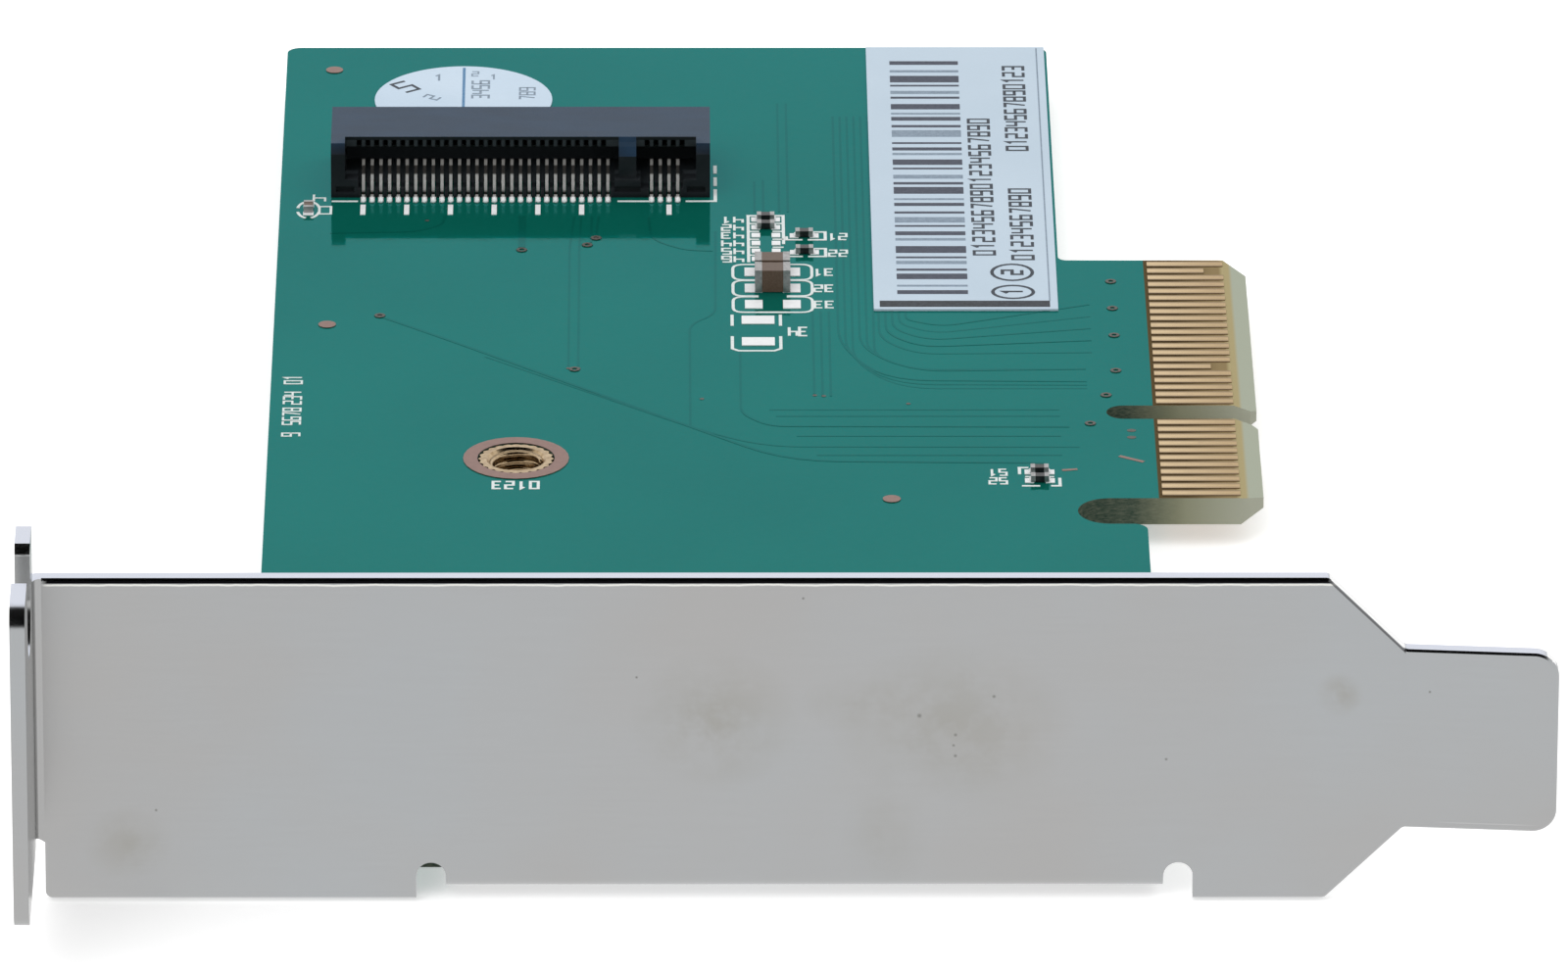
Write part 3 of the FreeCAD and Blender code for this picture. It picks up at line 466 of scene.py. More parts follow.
materials = {
    "board_mask": board_material(),
    "covered_trace": trace_material(),
    "finger_gold": gold_material(),
    "socket_plastic": plastic_material(),
    "contact_metal": contact_material(),
    "solder_tin": metal_material("solder_tin", (0.86, 0.87, 0.88), (0.94, 0.95, 0.96), 0.45, 3.0, 0.006, 0.1),
    "nut_brass": metal_material("nut_brass", (0.36, 0.25, 0.14), (0.60, 0.46, 0.29), 0.20, 3.0),
    "bare_copper": metal_material("bare_copper", (0.25, 0.155, 0.135), (0.345, 0.22, 0.19), 0.36, 2.0),
    "dull_tin": metal_material("dull_tin", (0.10, 0.105, 0.095), (0.17, 0.155, 0.14), 0.42, 3.0),
    "end_tin": metal_material("end_tin", (0.30, 0.30, 0.30), (0.50, 0.50, 0.50), 0.34, 4.0, 0.01, 0.8),
    "bracket_nickel": nickel_material(),
    "screw_steel": metal_material("screw_steel", (0.46, 0.46, 0.47), (0.62, 0.62, 0.63), 0.25, 2.5),
    "label_paper": paper_material("label_paper", (0.52, 0.64, 0.75), (0.56, 0.68, 0.79)),
    "sticker_paper": paper_material("sticker_paper", (0.56, 0.70, 0.84), (0.64, 0.77, 0.90)),
    "label_ink": ink_material("label_ink", (0.012, 0.016, 0.022), (0.05, 0.06, 0.075)),
    "grey_ink": ink_material("grey_ink", (0.020, 0.028, 0.042), (0.050, 0.064, 0.085)),
    "faint_ink": ink_material("faint_ink", (0.20, 0.26, 0.33), (0.30, 0.38, 0.47)),
    "slate_ink": ink_material("slate_ink", (0.040, 0.048, 0.075), (0.075, 0.088, 0.125)),
    "blue_ink": ink_material("blue_ink", (0.07, 0.20, 0.38), (0.14, 0.30, 0.50)),
    "silk_ink": ink_material("silk_ink", (0.72, 0.78, 0.77), (0.86, 0.90, 0.89)),
    "capacitor_ceramic": ceramic_material("capacitor_ceramic", (0.085, 0.050, 0.034), (0.15, 0.10, 0.070)),
    "resistor_ceramic": ceramic_material("resistor_ceramic", (0.006, 0.006, 0.007),
                                         (0.016, 0.017, 0.019), 0.3),
}

for part in frame["record"]["subparts"]:
    finish = part["material_slot"]
    if part["node"] == "via_rings":
        finish = "dull_tin"
    elif part["node"].endswith("_ends"):
        finish = "end_tin"
    mesh = nodes[part["node"]].data
    mesh.materials.clear()
    mesh.materials.append(materials[finish])


# ---- mesh helpers ---------------------------------------------------------------------------
def piece(name, mesh_builder, finish, smooth=False):
    """One piece on the fixed body, from a bmesh in millimetres."""
    work = bmesh.new()
    mesh_builder(work)
    bmesh.ops.scale(work, vec=(MM, MM, MM), verts=work.verts)
    bmesh.ops.recalc_face_normals(work, faces=work.faces)
    mesh = bpy.data.meshes.new(name)
    work.to_mesh(mesh)
    work.free()
    thing = bpy.data.objects.new(name, mesh)
    scene.collection.objects.link(thing)
    mesh.materials.append(materials[finish])
    for face in mesh.polygons:
        face.use_smooth = smooth
    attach(thing, "root")


def join(work, first, second):
    """Faces between two rings of as many vertices."""
    count = len(first)
    for index in range(count):
        after = (index + 1) % count
        work.faces.new((first[index], first[after], second[after], second[index]))


def prism(work, outline, low, high):
    """Upright prism on an outline of (x, y)."""
    bottom = [work.verts.new((x, y, low)) for x, y in outline]
    top = [work.verts.new((x, y, high)) for x, y in outline]
    work.faces.new(list(reversed(bottom)))
    work.faces.new(top)
    join(work, bottom, top)


def patch(work, x0, x1, y0, y1, low, high):
    """Upright box between two values of each axis."""
    prism(work, [(x0, y0), (x1, y0), (x1, y1), (x0, y1)], low, high)


def run(work, points, width, low, high, closed=False):
    """Flat line of constant width through points, mitred at its corners."""
    count = len(points)
    left, right = [], []
    for index, point in enumerate(points):
        here = Vector(point)
        before = Vector(points[index - 1]) if index or closed else None
        after = Vector(points[(index + 1) % count]) if index < count - 1 or closed else None
        into = (here - before).normalized() if before is not None else None
        out = (after - here).normalized() if after is not None else None
        into = into or out
        out = out or into
        along = (into + out).normalized()
        across = Vector((-along.y, along.x))
        reach = width / 2 / max(along.dot(into), 0.3)
        left.append(here + across * reach)
        right.append(here - across * reach)
    rings = []
    for a, b in zip(left, right):
        rings.append([work.verts.new((a.x, a.y, high)), work.verts.new((b.x, b.y, high)),
                      work.verts.new((b.x, b.y, low)), work.verts.new((a.x, a.y, low))])
    spans = count if closed else count - 1
    for index in range(spans):
        join(work, rings[index], rings[(index + 1) % count])
    if not closed:
        work.faces.new(list(reversed(rings[0])))
        work.faces.new(rings[-1])


def rounded(points, radius):
    """Open route with its inner corners turned into curves."""
    steps = 5
    route = [Vector(points[0])]
    for index in range(1, len(points) - 1):
        here = Vector(points[index])
        back = Vector(points[index - 1]) - here
        ahead = Vector(points[index + 1]) - here
        take = min(radius, back.length * 0.45, ahead.length * 0.45)
        start = here + back.normalized() * take
        end = here + ahead.normalized() * take
        for step in range(steps + 1):
            share = step / steps
            route.append(start * (1 - share) ** 2 + here * 2 * share * (1 - share) + end * share ** 2)
    route.append(Vector(points[-1]))
    return [(point.x, point.y) for point in route]


def arc(x, y, radius, start, end, steps, squash):
    """Points on an arc, angles in degrees; squash scales its height in y."""
    points = []
    for step in range(steps + 1):
        angle = math.radians(start + (end - start) * step / steps)
        points.append((x + radius * math.cos(angle), y + radius * squash * math.sin(angle)))
    return points


# plain digits, each as strokes in a cell one wide and two high
DIGITS = {
    "0": [[(0, 0), (0, 2), (1, 2), (1, 0), (0, 0)]],
    "1": [[(0.2, 1.6), (0.6, 2), (0.6, 0)]],
    "2": [[(0, 2), (1, 2), (1, 1), (0, 1), (0, 0), (1, 0)]],
    "3": [[(0, 2), (1, 2), (1, 0), (0, 0)], [(0.2, 1), (1, 1)]],
    "4": [[(0, 2), (0, 1), (1, 1)], [(1, 2), (1, 0)]],
    "5": [[(1, 2), (0, 2), (0, 1), (1, 1), (1, 0), (0, 0)]],
    "6": [[(1, 2), (0, 2), (0, 0), (1, 0), (1, 1), (0, 1)]],
    "7": [[(0, 2), (1, 2), (0.5, 0)]],
    "8": [[(0, 0), (0, 2), (1, 2), (1, 0), (0, 0)], [(0, 1), (1, 1)]],
    "9": [[(1, 1), (0, 1), (0, 2), (1, 2), (1, 0), (0, 0)]],
}


def digits(work, text, x, y, size, turn, low, high, weight, width=0.55, gap=0.3):
    """Plain digits centred on x, y.

    size is their height and turn is in degrees; weight, width and gap are shares of size.
    """
    step = size * width + size * gap
    total = step * len(text) - size * gap
    angle = math.radians(turn)
    across = Vector((math.cos(angle), math.sin(angle)))
    up = Vector((-across.y, across.x))
    for index, mark in enumerate(text):
        origin = Vector((x, y)) + across * (index * step - total / 2) - up * size / 2
        for stroke in DIGITS[mark]:
            points = []
            for a, b in stroke:
                spot = origin + across * (a * size * width) + up * (b * size / 2)
                points.append((spot.x, spot.y))
            lift = DIGIT_STEP * (len(work.faces) // 4 % 7)
            if points[0] == points[-1]:
                run(work, points[:-1], size * weight, low, high + lift, closed=True)
            else:
                run(work, points, size * weight, low, high + lift)


# ---- printed white ink ----------------------------------------------------------------------
ink_low = BOARD_TOP
ink_high = BOARD_TOP + INK


def line(work, points, width=0.2):
    lift = LINE_STEP * (len(work.faces) // 4 % 7)
    run(work, points, width, ink_low, ink_high + lift)


def silk_lines(work):
    # corners and dashes round the socket
    y = socket_low.y - 0.6
    left = socket_low.x
    right = socket_high.x + 0.3
    line(work, [(left + 0.05, y), (left + 1.55, y)])
    line(work, [(right - 5.6, y), (right - 3.75, y)])
    line(work, [(right - 1.7, y), (right, y), (right, y + 1.8)])
    line(work, [(right, y + 2.3), (right, y + 3.6)])
    line(work, [(right, y + 4.2), (right, y + 5.4)])
    # stack of small places: frame with rungs
    x0, x1 = stack_low.x - 0.75, stack_high.x + 0.75
    first = stack_rows[0] + 0.6
    for row in range(6):
        y = first - STACK_PITCH * row
        line(work, [(x0, y), (x0 + 0.62, y)], 0.16)
        line(work, [(x1 - 0.62, y), (x1, y)], 0.16)
    line(work, [(x0, first - STACK_PITCH * 5.9), (x0, first), (x1, first),
                (x1, first - STACK_PITCH * 3.6)], 0.18)
    # two singles beside it
    x0, x1 = singles_low.x - 0.75, singles_high.x + 0.95
    for y in single_rows:
        line(work, [(x1 - 1.0, y + 0.58), (x1, y + 0.58), (x1, y - 0.58), (x1 - 1.0, y - 0.58)], 0.18)
        line(work, [(x0 + 0.9, y - 0.58), (x0, y - 0.58), (x0, y - 0.1)], 0.16)
    # three rounded capacitor places
    x = middle(caps_low, caps_high)[0]
    wide, tall, open_from = 2.24, 1.14, 0.8
    for y in capacitor_rows:
        for side in (-1, 1):
            near, far = x + side * open_from, x + side * wide
            route = [(near, y + tall), (far, y + tall), (far, y - tall), (near, y - tall)]
            line(work, rounded(route, 1.0), 0.17)
    y = capacitor_rows[-1] - tall
    line(work, [(x - open_from, y), (x + open_from, y)], 0.2)
    # open frame of the large place below
    x, y, wide = -27.8, spare_low.y + 2.15, 1.36
    far = y - 2.9
    line(work, [(x - wide, y - 0.8), (x - wide, far + 0.3), (x - 1.0, far),
                (x + 1.0, far), (x + wide, far + 0.3), (x + wide, y - 0.8)], 0.18)
    for side in (-wide, wide):
        line(work, [(x + side, y + 0.75), (x + side, y + 2.35)], 0.18)
    # pair near the contacts
    x0, x1 = pair_low.x - 0.85, pair_high.x + 0.85
    y0, y1 = pair_low.y - 0.45, pair_high.y + 0.4
    y = (y0 + y1) / 2
    line(work, [(x0 + 0.5, y1), (x0, y1), (x0, y1 - 0.9)], 0.18)
    line(work, [(x0 + 0.1, y0), (x0 + 1.1, y0)], 0.18)
    line(work, [(x1 - 0.5, y0), (x1, y0), (x1, y0 + 1.1)], 0.18)
    line(work, [(x0 + 0.3, y), (x0 + 0.8, y)], 0.16)
    line(work, [(x1 - 0.8, y), (x1 - 0.3, y)], 0.16)
    # oval round the part at the board's edge
    for start in (15, 105, 195, 285):
        line(work, arc(edge_chip_x, edge_chip_y, 0.63, start, start + 62, 7, 1.97), 0.17)


def silk_numbers(work):
    def mark(text, x, y, size, turn=180.0, weight=0.16, width=0.45, gap=0.22):
        digits(work, text, x, y, size, turn, ink_low, ink_high, weight, width, gap)

    for text, y in zip(("21", "22"), single_rows):
        mark(text, -23.1, y - 0.1, 0.9)
    for text, y in zip(("31", "32", "33"), capacitor_rows):
        mark(text, -23.95, y, 0.95)
    mark("34", -25.45, spare_low.y + 2.05, 1.2, weight=0.14, width=0.36, gap=0.12)
    for text, y in zip(("41", "42", "43", "44", "45", "46"), stack_rows):
        mark(text, -29.08, y, 0.85, weight=0.17, width=0.56, gap=0.26)
    mark("51", -14.6, pair_high.y - CHIP_HALF, 0.85)
    mark("52", -14.6, pair_low.y + CHIP_HALF, 0.85)
    nut_x = middle(short_nut_low, short_nut_high)[0]
    mark("0123", nut_x, short_nut_low.y - 0.95, 0.98, weight=0.17, width=0.44, gap=0.26)
    mark("4", edge_chip_x + 0.6, edge_chip_y + 1.8, 1.0, weight=0.13, width=0.65)
    mark("0", edge_chip_x + 0.95, edge_chip_y - 0.05, 1.1, weight=0.13, width=0.6)
    for index, text in enumerate(("01", "234", "5678", "9")):
        mark(text, -53.7, 4.6 - 2.6 * index, 0.95, 90.0, 0.13)


piece("silkscreen_lines", silk_lines, "silk_ink")
piece("silkscreen_numbers", silk_numbers, "silk_ink")


# ---- covered traces -------------------------------------------------------------------------
def trace(work, points, width=0.14, corner=1.0, under=False):
    """Covered track on the component side, or under the board."""
    rise = TRACE + TRACE_STEP * (len(work.faces) // 4 % 23)
    low, high = (BOARD_BOTTOM - rise, BOARD_BOTTOM) if under else (BOARD_TOP, BOARD_TOP + rise)
    run(work, rounded(points, corner), width, low, high)


def component_traces(work):
    pads = front_feet_low.y - 2.2
    # from the socket's front pads
    trace(work, [(-38.1, pads), (-38.35, 24.0), (-38.35, 6.6)])
    trace(work, [(-37.7, pads), (-37.8, 24.0), (-37.8, 6.6)])
    trace(work, [(-37.1, pads), (-37.15, 24.8)])
    trace(work, [(-36.7, pads), (-36.85, 25.8)])
    # single tracks in the field
    trace(work, [(-33.86, 28.6), (-33.7, 25.2), (-31.8, 23.7), (-30.2, 23.55)], corner=2.0)
    trace(work, [(-30.05, 26.5), (-30.1, 14.2), (-31.55, 12.7), (-31.55, -2.0)])
    trace(work, [(-28.73, 8.5), (-28.73, -0.2), (-27.2, -2.0), (-10.5, -2.1)])
    trace(work, [(-27.8, 34.0), (-27.8, 29.4)])
    trace(work, [(-27.3, 34.2), (-27.3, 29.4)])
    trace(work, [(-26.4, 46.0), (-26.4, 29.4)])
    trace(work, [(-25.9, 46.0), (-25.9, 29.4)])
    trace(work, [(-49.0, 13.9), (-45.5, 10.8), (-26.3, -6.9), (-12.0, -7.2)], 0.2, 3.0)
    trace(work, [(-43.0, 8.0), (-31.6, -2.1), (-27.5, -4.9), (-10.0, -4.95)], 0.14, 3.0)
    trace(work, [(-52.0, 26.2), (-47.0, 26.45), (-45.6, 27.5), (-45.5, 28.9)], corner=1.6)
    trace(work, [(-41.07, 28.8), (-41.07, 24.1)], 0.42)
    # bundles of tracks side by side
    for index in range(3):
        x = -24.62 + 0.46 * index
        trace(work, [(x, 14.6), (x, 2.6 - 0.15 * index)])
    for index in range(6):
        x = -23.2 + 0.4 * index
        turn = 6.8 - 1.2 * index if index < 3 else 8.6 - 0.7 * index
        trace(work, [(x, 44.0), (x, turn + 2.8), (x + 2.6, turn - 2.2 + 0.6 * index),
                     (-9.4, turn - 2.4 + 0.7 * index)], corner=3.2)
    for index in range(5):
        x = -20.9 + 0.38 * index
        turn = 9.0 + 0.7 * index
        trace(work, [(x, 14.6), (x, turn + 1.6), (x + 2.0, turn - 0.6 + 0.3 * index),
                     (-9.0, turn - 0.4 + 1.05 * index)], corner=2.4)
    # straight tracks to the fingers
    for y in (0.35, -0.55, -3.4, -6.1):
        trace(work, [(-27.0 - y * 0.4, y), (-11.0, y)])


def solder_traces(work):
    for index in range(12):
        y = 19.0 - 2.0 * index
        x = -14.0 - 1.1 * index
        trace(work, [(MASK_EDGE - 0.2, y), (x + 3.0, y), (x, y + 3.0), (x, 30.0 + 0.4 * index)],
              0.2, 2.0, under=True)
    for index in range(5):
        x = -50.0 + 1.2 * index
        trace(work, [(x, 28.0), (x, 12.0 - 2 * index), (x + 6.0, 6.0 - 2 * index),
                     (-16.0 - index, 6.0 - 2 * index)], 0.24, 2.0, under=True)


piece("traces_component_side", component_traces, "covered_trace")
piece("traces_solder_side", solder_traces, "covered_trace")


# ---- covered holes and small bare marks -----------------------------------------------------
def disc(work, x, y, radius, low, high, sides, squash=1.0):
    outline = arc(x, y, radius, 0, 360 - 360 / sides, sides - 1, squash)
    prism(work, outline, low, high)


def covered_holes(work):
    """Dull dots of holes that the mask covers: two beside the fingers, the rest near track ends."""
    for x, y in ((-7.07, -2.62), (-7.09, -3.59)):
        disc(work, x, y, 0.26, BOARD_TOP, BOARD_TOP + DOT, 14, 0.8)
    for x, y in ((-38.35, 6.3), (-37.8, 6.3), (-37.2, 24.5), (-36.85, 25.5), (-46.5, 28.1),
                 (-24.6, 2.4), (-24.1, 2.3), (-30.9, 1.9), (-19.4, 1.2), (-49.0, 13.95)):
        disc(work, x, y, 0.13, BOARD_TOP + TRACE, BOARD_TOP + TRACE + DOT, 10)


def bare_marks(work):
    """Two short strips of bare copper beside the shorter row of fingers."""
    for points, width in (([(-7.84, -6.24), (-6.51, -7.07)], 0.26),
                          ([(-11.05, -8.25), (-10.2, -8.1)], 0.24)):
        run(work, points, width, BOARD_TOP, BOARD_TOP + BARE)


piece("covered_holes", covered_holes, "dull_tin")
piece("bare_copper_marks", bare_marks, "bare_copper")


# ---- paper label ----------------------------------------------------------------------------
label_print = (label_high.z, label_high.z + PRINT)   # bottom and top of the ink


def label_rule(work):
    """Dark rule along the label's near end."""
    patch(work, label_low.x + 0.34, label_high.x - 0.45, label_low.y + 0.3, label_low.y + 1.2, *label_print)


def bar_field(work, pale):
    """Bars across the label in a plain repeating measure; every third bar is a pale one."""
    widths = (0.55, 0.25, 0.8, 0.3, 0.45, 0.25, 1.0, 0.35)
    gaps = (0.55, 0.85, 0.45, 0.7, 0.4)
    y = label_low.y + 2.2
    index = 0
    while y < label_high.y - 2.6:
        width = widths[index % len(widths)]
        if (index % 3 == 1) == pale:
            patch(work, label_low.x + 1.35, label_low.x + 5.35, y, y + width, *label_print)
        y += width + gaps[index % len(gaps)]
        index += 1


def label_bars(work):
    bar_field(work, False)


def label_pale_bars(work):
    """The pale bars, and a thin line along the label's right side."""
    bar_field(work, True)
    patch(work, label_high.x - 0.49, label_high.x - 0.41, label_low.y + 1.2, label_high.y - 0.2, *label_print)


def label_numbers(work):
    """Running digits beside the bars, and two ovals with a digit each."""
    def column(text, x, y, size, length):
        """Digits that read along the label, spread over a length."""
        width = 0.52
        pitch = (length - size * width) / (len(text) - 1)
        digits(work, text, x, y, size, 90.0, *label_print, 0.15, width, pitch / size - width)

    column("012345678901234567890", label_low.x + 6.38, label_low.y + 18.3, 1.15, 20.6)
    column("01234567890", label_low.x + 8.56, label_low.y + 12.6, 1.16, 10.6)
    column("01234567890123", label_low.x + 8.55, label_high.y - 9.6, 1.15, 13.0)
    x = label_low.x + 7.9
    ovals = (("1", label_low.y + 2.5, 0.83), ("2", label_low.y + 5.4, 1.04))
    for _, y, squash in ovals:
        run(work, arc(x, y, 1.15, 0, 345, 23, squash), 0.20, *label_print, closed=True)
    for text, y, _ in ovals:
        digits(work, text, x, y, 1.1, 90.0, *label_print, 0.18)


piece("label_rule", label_rule, "label_ink")
piece("label_bars", label_bars, "slate_ink")
piece("label_pale_bars", label_pale_bars, "faint_ink")
piece("label_numbers", label_numbers, "grey_ink")


# ---- round sticker --------------------------------------------------------------------------
sticker_x, sticker_y = middle(sticker_low, sticker_high)
sticker_print = (sticker_high.z, sticker_high.z + PRINT)


def sticker_line(work):
    """Thin line across the sticker's middle."""
    reach = (sticker_high.x - sticker_low.x) / 2 - 0.25
    run(work, [(sticker_x, sticker_y - reach), (sticker_x, sticker_y + reach)], 0.16, *sticker_print)


def sticker_numbers(work):
    marks = (                        # digits, place from the sticker's middle, size, turn
        ("1", -1.5, 3.35, 0.9, 0.0),
        ("2", -1.83, 0.3, 0.9, 60.0),
        ("3456", 0.98, 1.5, 0.95, 90.0),
        ("789", 3.7, 0.9, 0.85, 90.0),
        ("1", 1.7, 3.45, 0.7, 0.0),
        ("2", 0.65, 3.95, 0.7, 0.0),
    )
    for text, across, along, size, turn in marks:
        digits(work, text, sticker_x + across, sticker_y + along, size, turn, *sticker_print,
               0.14, 0.52, 0.27)


def sticker_dark_number(work):
    digits(work, "5", sticker_x - 3.4, sticker_y + 1.94, 1.5, 35.0, *sticker_print, 0.13, 0.62)


piece("sticker_lines", sticker_line, "blue_ink")
piece("sticker_numbers", sticker_numbers, "faint_ink")
piece("sticker_dark_number", sticker_dark_number, "grey_ink")


# ---- nut threads ----------------------------------------------------------------------------
def nut_threads(work):
    """Helical ridge in each nut's bore."""
    turns, steps, pitch = 4, 36, 0.45
    bore, crest, crest_half = 1.44, 1.26, 0.03
    for low, high in ((short_nut_low, short_nut_high), (long_nut_low, long_nut_high)):
        x, y = middle(low, high)
        start = high.z - 0.15
        ceiling = high.z - 0.08
        rings = []
        for step in range(turns * steps + 1):
            angle = TURN * step / steps
            z = start - pitch * step / steps
            section = ((bore, z + pitch * 0.45), (crest, z + crest_half),
                       (crest, z - crest_half), (bore, z - pitch * 0.45))
            rings.append([work.verts.new((x + radius * math.cos(angle), y + radius * math.sin(angle),
                                          min(height, ceiling))) for radius, height in section])
        for first, second in zip(rings, rings[1:]):
            join(work, first, second)
        work.faces.new(rings[0])
        work.faces.new(list(reversed(rings[-1])))


piece("nut_threads", nut_threads, "nut_brass", smooth=True)


# ---- solder on the socket's feet ------------------------------------------------------------
def dome(work, x, y, length, width, height, base):
    """Low drop of solder."""
    sides, rows = 10, 3
    rings = []
    for row in range(rows):
        level = row / rows
        shrink = math.sqrt(1 - level * level)
        rings.append([work.verts.new((x + width / 2 * shrink * math.cos(TURN * side / sides),
                                      y + length / 2 * shrink * math.sin(TURN * side / sides),
                                      base + height * level)) for side in range(sides)])
    peak = work.verts.new((x, y, base + height))
    for first, second in zip(rings, rings[1:]):
        join(work, first, second)
    for side in range(sides):
        work.faces.new((rings[-1][side], rings[-1][(side + 1) % sides], peak))
    work.faces.new(list(reversed(rings[0])))


def foot_row(work, first, y, count, missing, length, width, height, base):
    """Drops along one row of contacts, with none at the socket's key."""
    for index in range(count):
        if index not in missing:
            dome(work, first + CONTACT_PITCH * index, y, length, width, height, base)


def foot_solder(work):
    pads = BOARD_TOP + PAD
    foot_row(work, front_feet_low.x + CONTACT_HALF, front_feet_low.y + 0.04, 37, range(29, 33),
             0.62, 0.33, 0.27, pads - 0.03)
    foot_row(work, rear_feet_low.x + CONTACT_HALF, rear_feet_high.y - 0.1, 38, range(29, 34),
             0.5, 0.27, 0.2, pads)


piece("foot_solder", foot_solder, "solder_tin", smooth=True)


# ---- blend between the bracket's face and its bend ------------------------------------------
def bend_blend(work):
    """Narrow strip that carries the face on, flush, into the bend beside the top tab."""
    width, depth, proud, overlap = 0.125, 0.10, 0.0005, 0.005
    low, high = 1.3, 16.2
    patch(work, bracket_fold - overlap, bracket_fold + width, bracket_face - proud, bracket_face + depth,
          low, high)


piece("bend_blend", bend_blend, "bracket_nickel")


# ---- softened edges of the folded and moulded parts -----------------------------------------
def soften(name, width, segments):
    """Rounds a CAD node's sharp edges with modifiers; its own mesh stays as it is."""
    node = nodes[name]
    weld = node.modifiers.new("weld", "WELD")
    weld.merge_threshold = 0.0005 * MM
    bevel = node.modifiers.new("bevel", "BEVEL")
    bevel.width = width * MM
    bevel.segments = segments
    bevel.limit_method = "ANGLE"
    bevel.angle_limit = math.radians(30.0)
    bevel.use_clamp_overlap = True
    even = node.modifiers.new("normals", "WEIGHTED_NORMAL")
    even.keep_sharp = False
    for face in node.data.polygons:
        face.use_smooth = True


soften("mounting_bracket", 0.09, 3)
soften("socket_housing", 0.03, 2)


# ---- camera, light and floor ----------------------------------------------------------------
CAMERA_PLACE = (-33.90, -895.28, 379.26)   # millimetres
CAMERA_ANGLES = (23.157, -0.485, 0.173)   # downward tilt, turn and roll, in degrees
SENSOR = 36.0
FOCUS = 11.14625                 # focal length over the sensor's width
BACKDROP = 1.0                   # the world as the camera and mirroring surfaces see it
AMBIENT = 0.62                   # the world as plain surfaces are lit by it
LAMPS = (                        # name, place and size in metres, power
    ("key", (-0.35, -0.55, 0.9), 0.8, 4.3),
    ("fill", (0.6, 0.4, 0.8), 0.9, 2.15),
)
LAMP_AIM = (-0.026, -0.008, 0.0)   # metres
FLOOR_GAP = 0.2                  # from the bracket's lowest edge down to the floor
FLOOR_GLOW = 0.45                # lifts the floor toward white and leaves its shadow
FLOOR_MIRRORED = 1.03            # the floor as polished surfaces mirror it


def add_camera():
    pitch, yaw, roll = (math.radians(angle) for angle in CAMERA_ANGLES)
    turn = Matrix.Rotation(yaw, 3, "Z") @ Matrix.Rotation(-pitch, 3, "X")
    right, ahead, up = turn @ Vector((1, 0, 0)), turn @ Vector((0, 1, 0)), turn @ Vector((0, 0, 1))
    level_right = math.cos(roll) * right + math.sin(roll) * up
    level_up = -math.sin(roll) * right + math.cos(roll) * up
    lens = bpy.data.cameras.new("camera")
    camera = bpy.data.objects.new("camera", lens)
    scene.collection.objects.link(camera)
    lens.sensor_width = SENSOR
    lens.lens = FOCUS * SENSOR
    lens.clip_start = 0.05
    lens.clip_end = 100.0
    pose = Matrix((level_right, level_up, -ahead)).transposed().to_4x4()
    pose.translation = Vector(CAMERA_PLACE) * MM
    camera.matrix_world = pose
    scene.camera = camera


def add_world():
    """White all round, dimmer for the light that it gives to plain surfaces."""
    world = bpy.data.worlds.new("studio")
    scene.world = world
    world.use_nodes = True
    tree = world.node_tree
    ground = tree.nodes["Background"]
    path = tree.nodes.new("ShaderNodeLightPath")
    seen = path.outputs["Is Camera Ray"]
    for ray in ("Is Glossy Ray", "Is Transmission Ray"):
        either = tree.nodes.new("ShaderNodeMath")
        either.operation = "MAXIMUM"
        tree.links.new(seen, either.inputs[0])
        tree.links.new(path.outputs[ray], either.inputs[1])
        seen = either.outputs[0]
    level = tree.nodes.new("ShaderNodeMapRange")
    level.inputs["To Min"].default_value = AMBIENT
    level.inputs["To Max"].default_value = BACKDROP
    tree.links.new(seen, level.inputs["Value"])
    ground.inputs["Color"].default_value = (1.0, 1.0, 1.0, 1.0)
    tree.links.new(level.outputs["Result"], ground.inputs["Strength"])


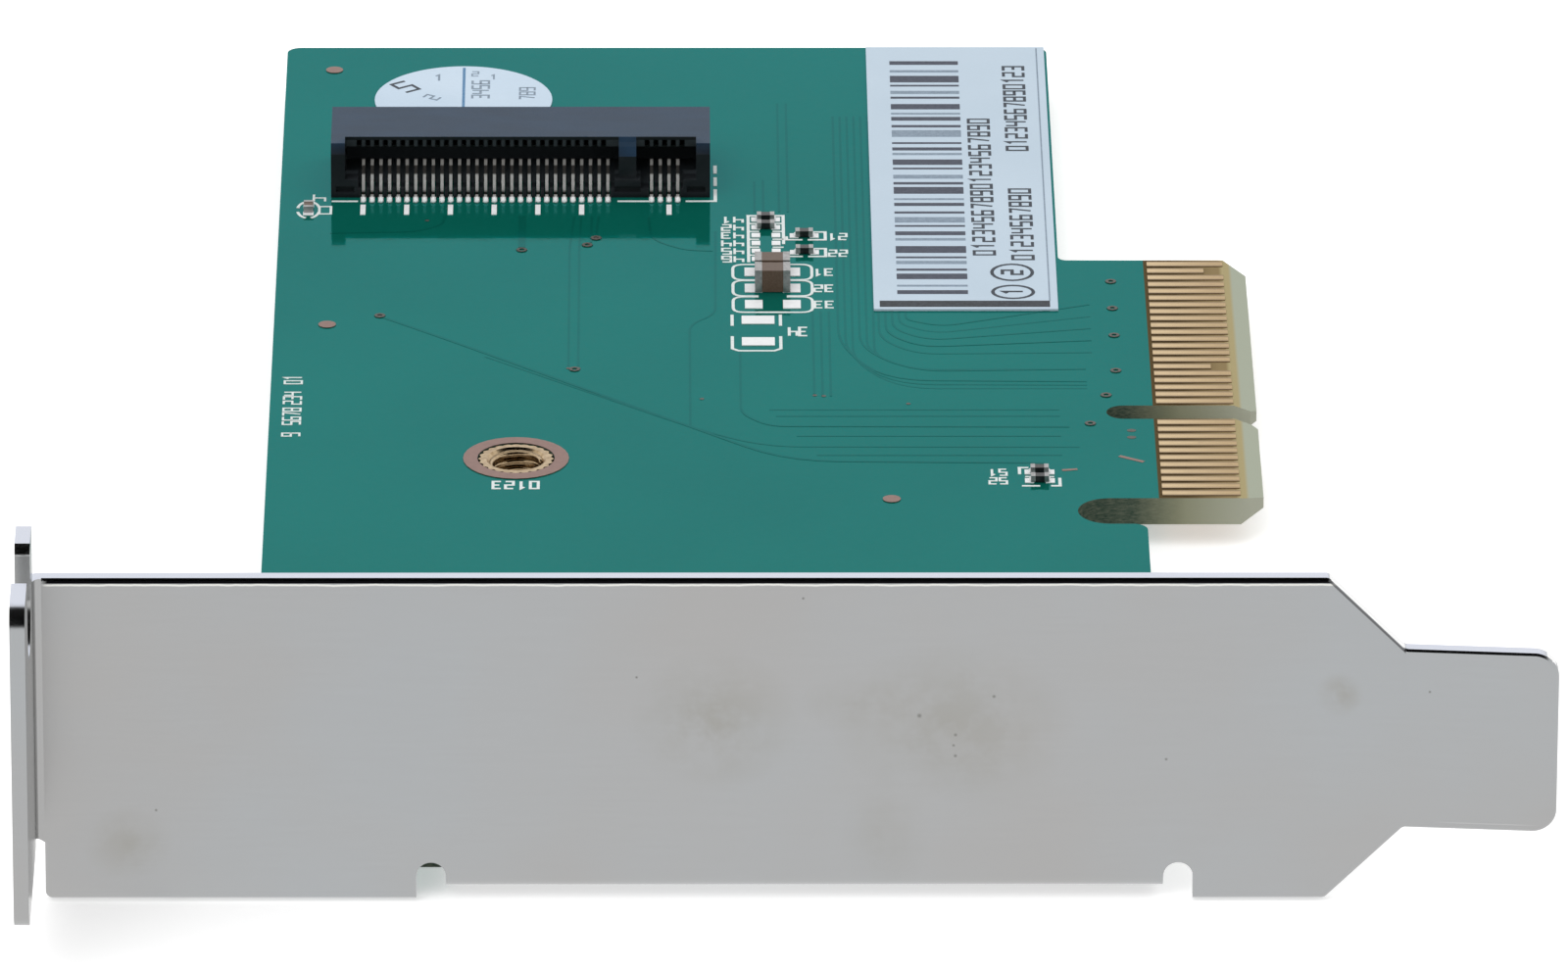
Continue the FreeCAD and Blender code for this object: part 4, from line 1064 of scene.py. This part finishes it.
def add_lamps():
    for name, spot, size, power in LAMPS:
        lamp = bpy.data.lights.new(name, "AREA")
        lamp.size = size
        lamp.energy = power
        thing = bpy.data.objects.new(name, lamp)
        scene.collection.objects.link(thing)
        place = Vector(spot)
        aim = Vector(LAMP_AIM) - place
        thing.matrix_world = Matrix.Translation(place) @ aim.to_track_quat("-Z", "Y").to_matrix().to_4x4()
        thing.visible_glossy = False


def add_floor():
    reach = 6.0
    low = (bracket_low.z - FLOOR_GAP) * MM
    mesh = bpy.data.meshes.new("floor")
    corners = [(-reach, -reach, low), (reach, -reach, low), (reach, reach, low), (-reach, reach, low)]
    mesh.from_pydata(corners, [], [(0, 1, 2, 3)])
    thing = bpy.data.objects.new("floor", mesh)
    scene.collection.objects.link(thing)
    shade = Shade("floor", roughness=0.9, specular=0.0)
    path = shade.tree.nodes.new("ShaderNodeLightPath")
    mirrored = path.outputs["Is Glossy Ray"]
    shade.colour(shade.mix(mirrored, (0.9, 0.9, 0.9), (0.0, 0.0, 0.0)))
    seen = shade.math("MAXIMUM", path.outputs["Is Camera Ray"], path.outputs["Is Transmission Ray"])
    glow = shade.math("ADD", shade.math("MULTIPLY", seen, FLOOR_GLOW),
                      shade.math("MULTIPLY", mirrored, FLOOR_MIRRORED))
    shade.put(shade.surface.inputs["Emission Color"], (1.0, 1.0, 1.0))
    shade.put(shade.surface.inputs["Emission Strength"], glow)
    mesh.materials.append(shade.material)


def add_dark_card():
    """Dark studio above and behind the camera, seen only where metal and plastic mirror it."""
    card = bpy.data.meshes.new("dark_card")
    edge = ((0.25, 0.95), (-0.95, 0.95), (-0.95, 0.06))
    corners = [(x, y, z) for y, z in edge for x in (-0.9, 0.9)]
    card.from_pydata(corners, [], [(0, 1, 3, 2), (2, 3, 5, 4)])
    flag = bpy.data.objects.new("dark_card", card)
    scene.collection.objects.link(flag)
    dark = Shade("dark_card", roughness=1.0, specular=0.0)
    dark.colour((0.005, 0.005, 0.005))
    card.materials.append(dark.material)
    flag.visible_camera = False
    flag.visible_diffuse = False
    flag.visible_shadow = False


add_camera()
add_world()
add_lamps()
add_floor()
add_dark_card()
scene.view_settings.view_transform = "Standard"
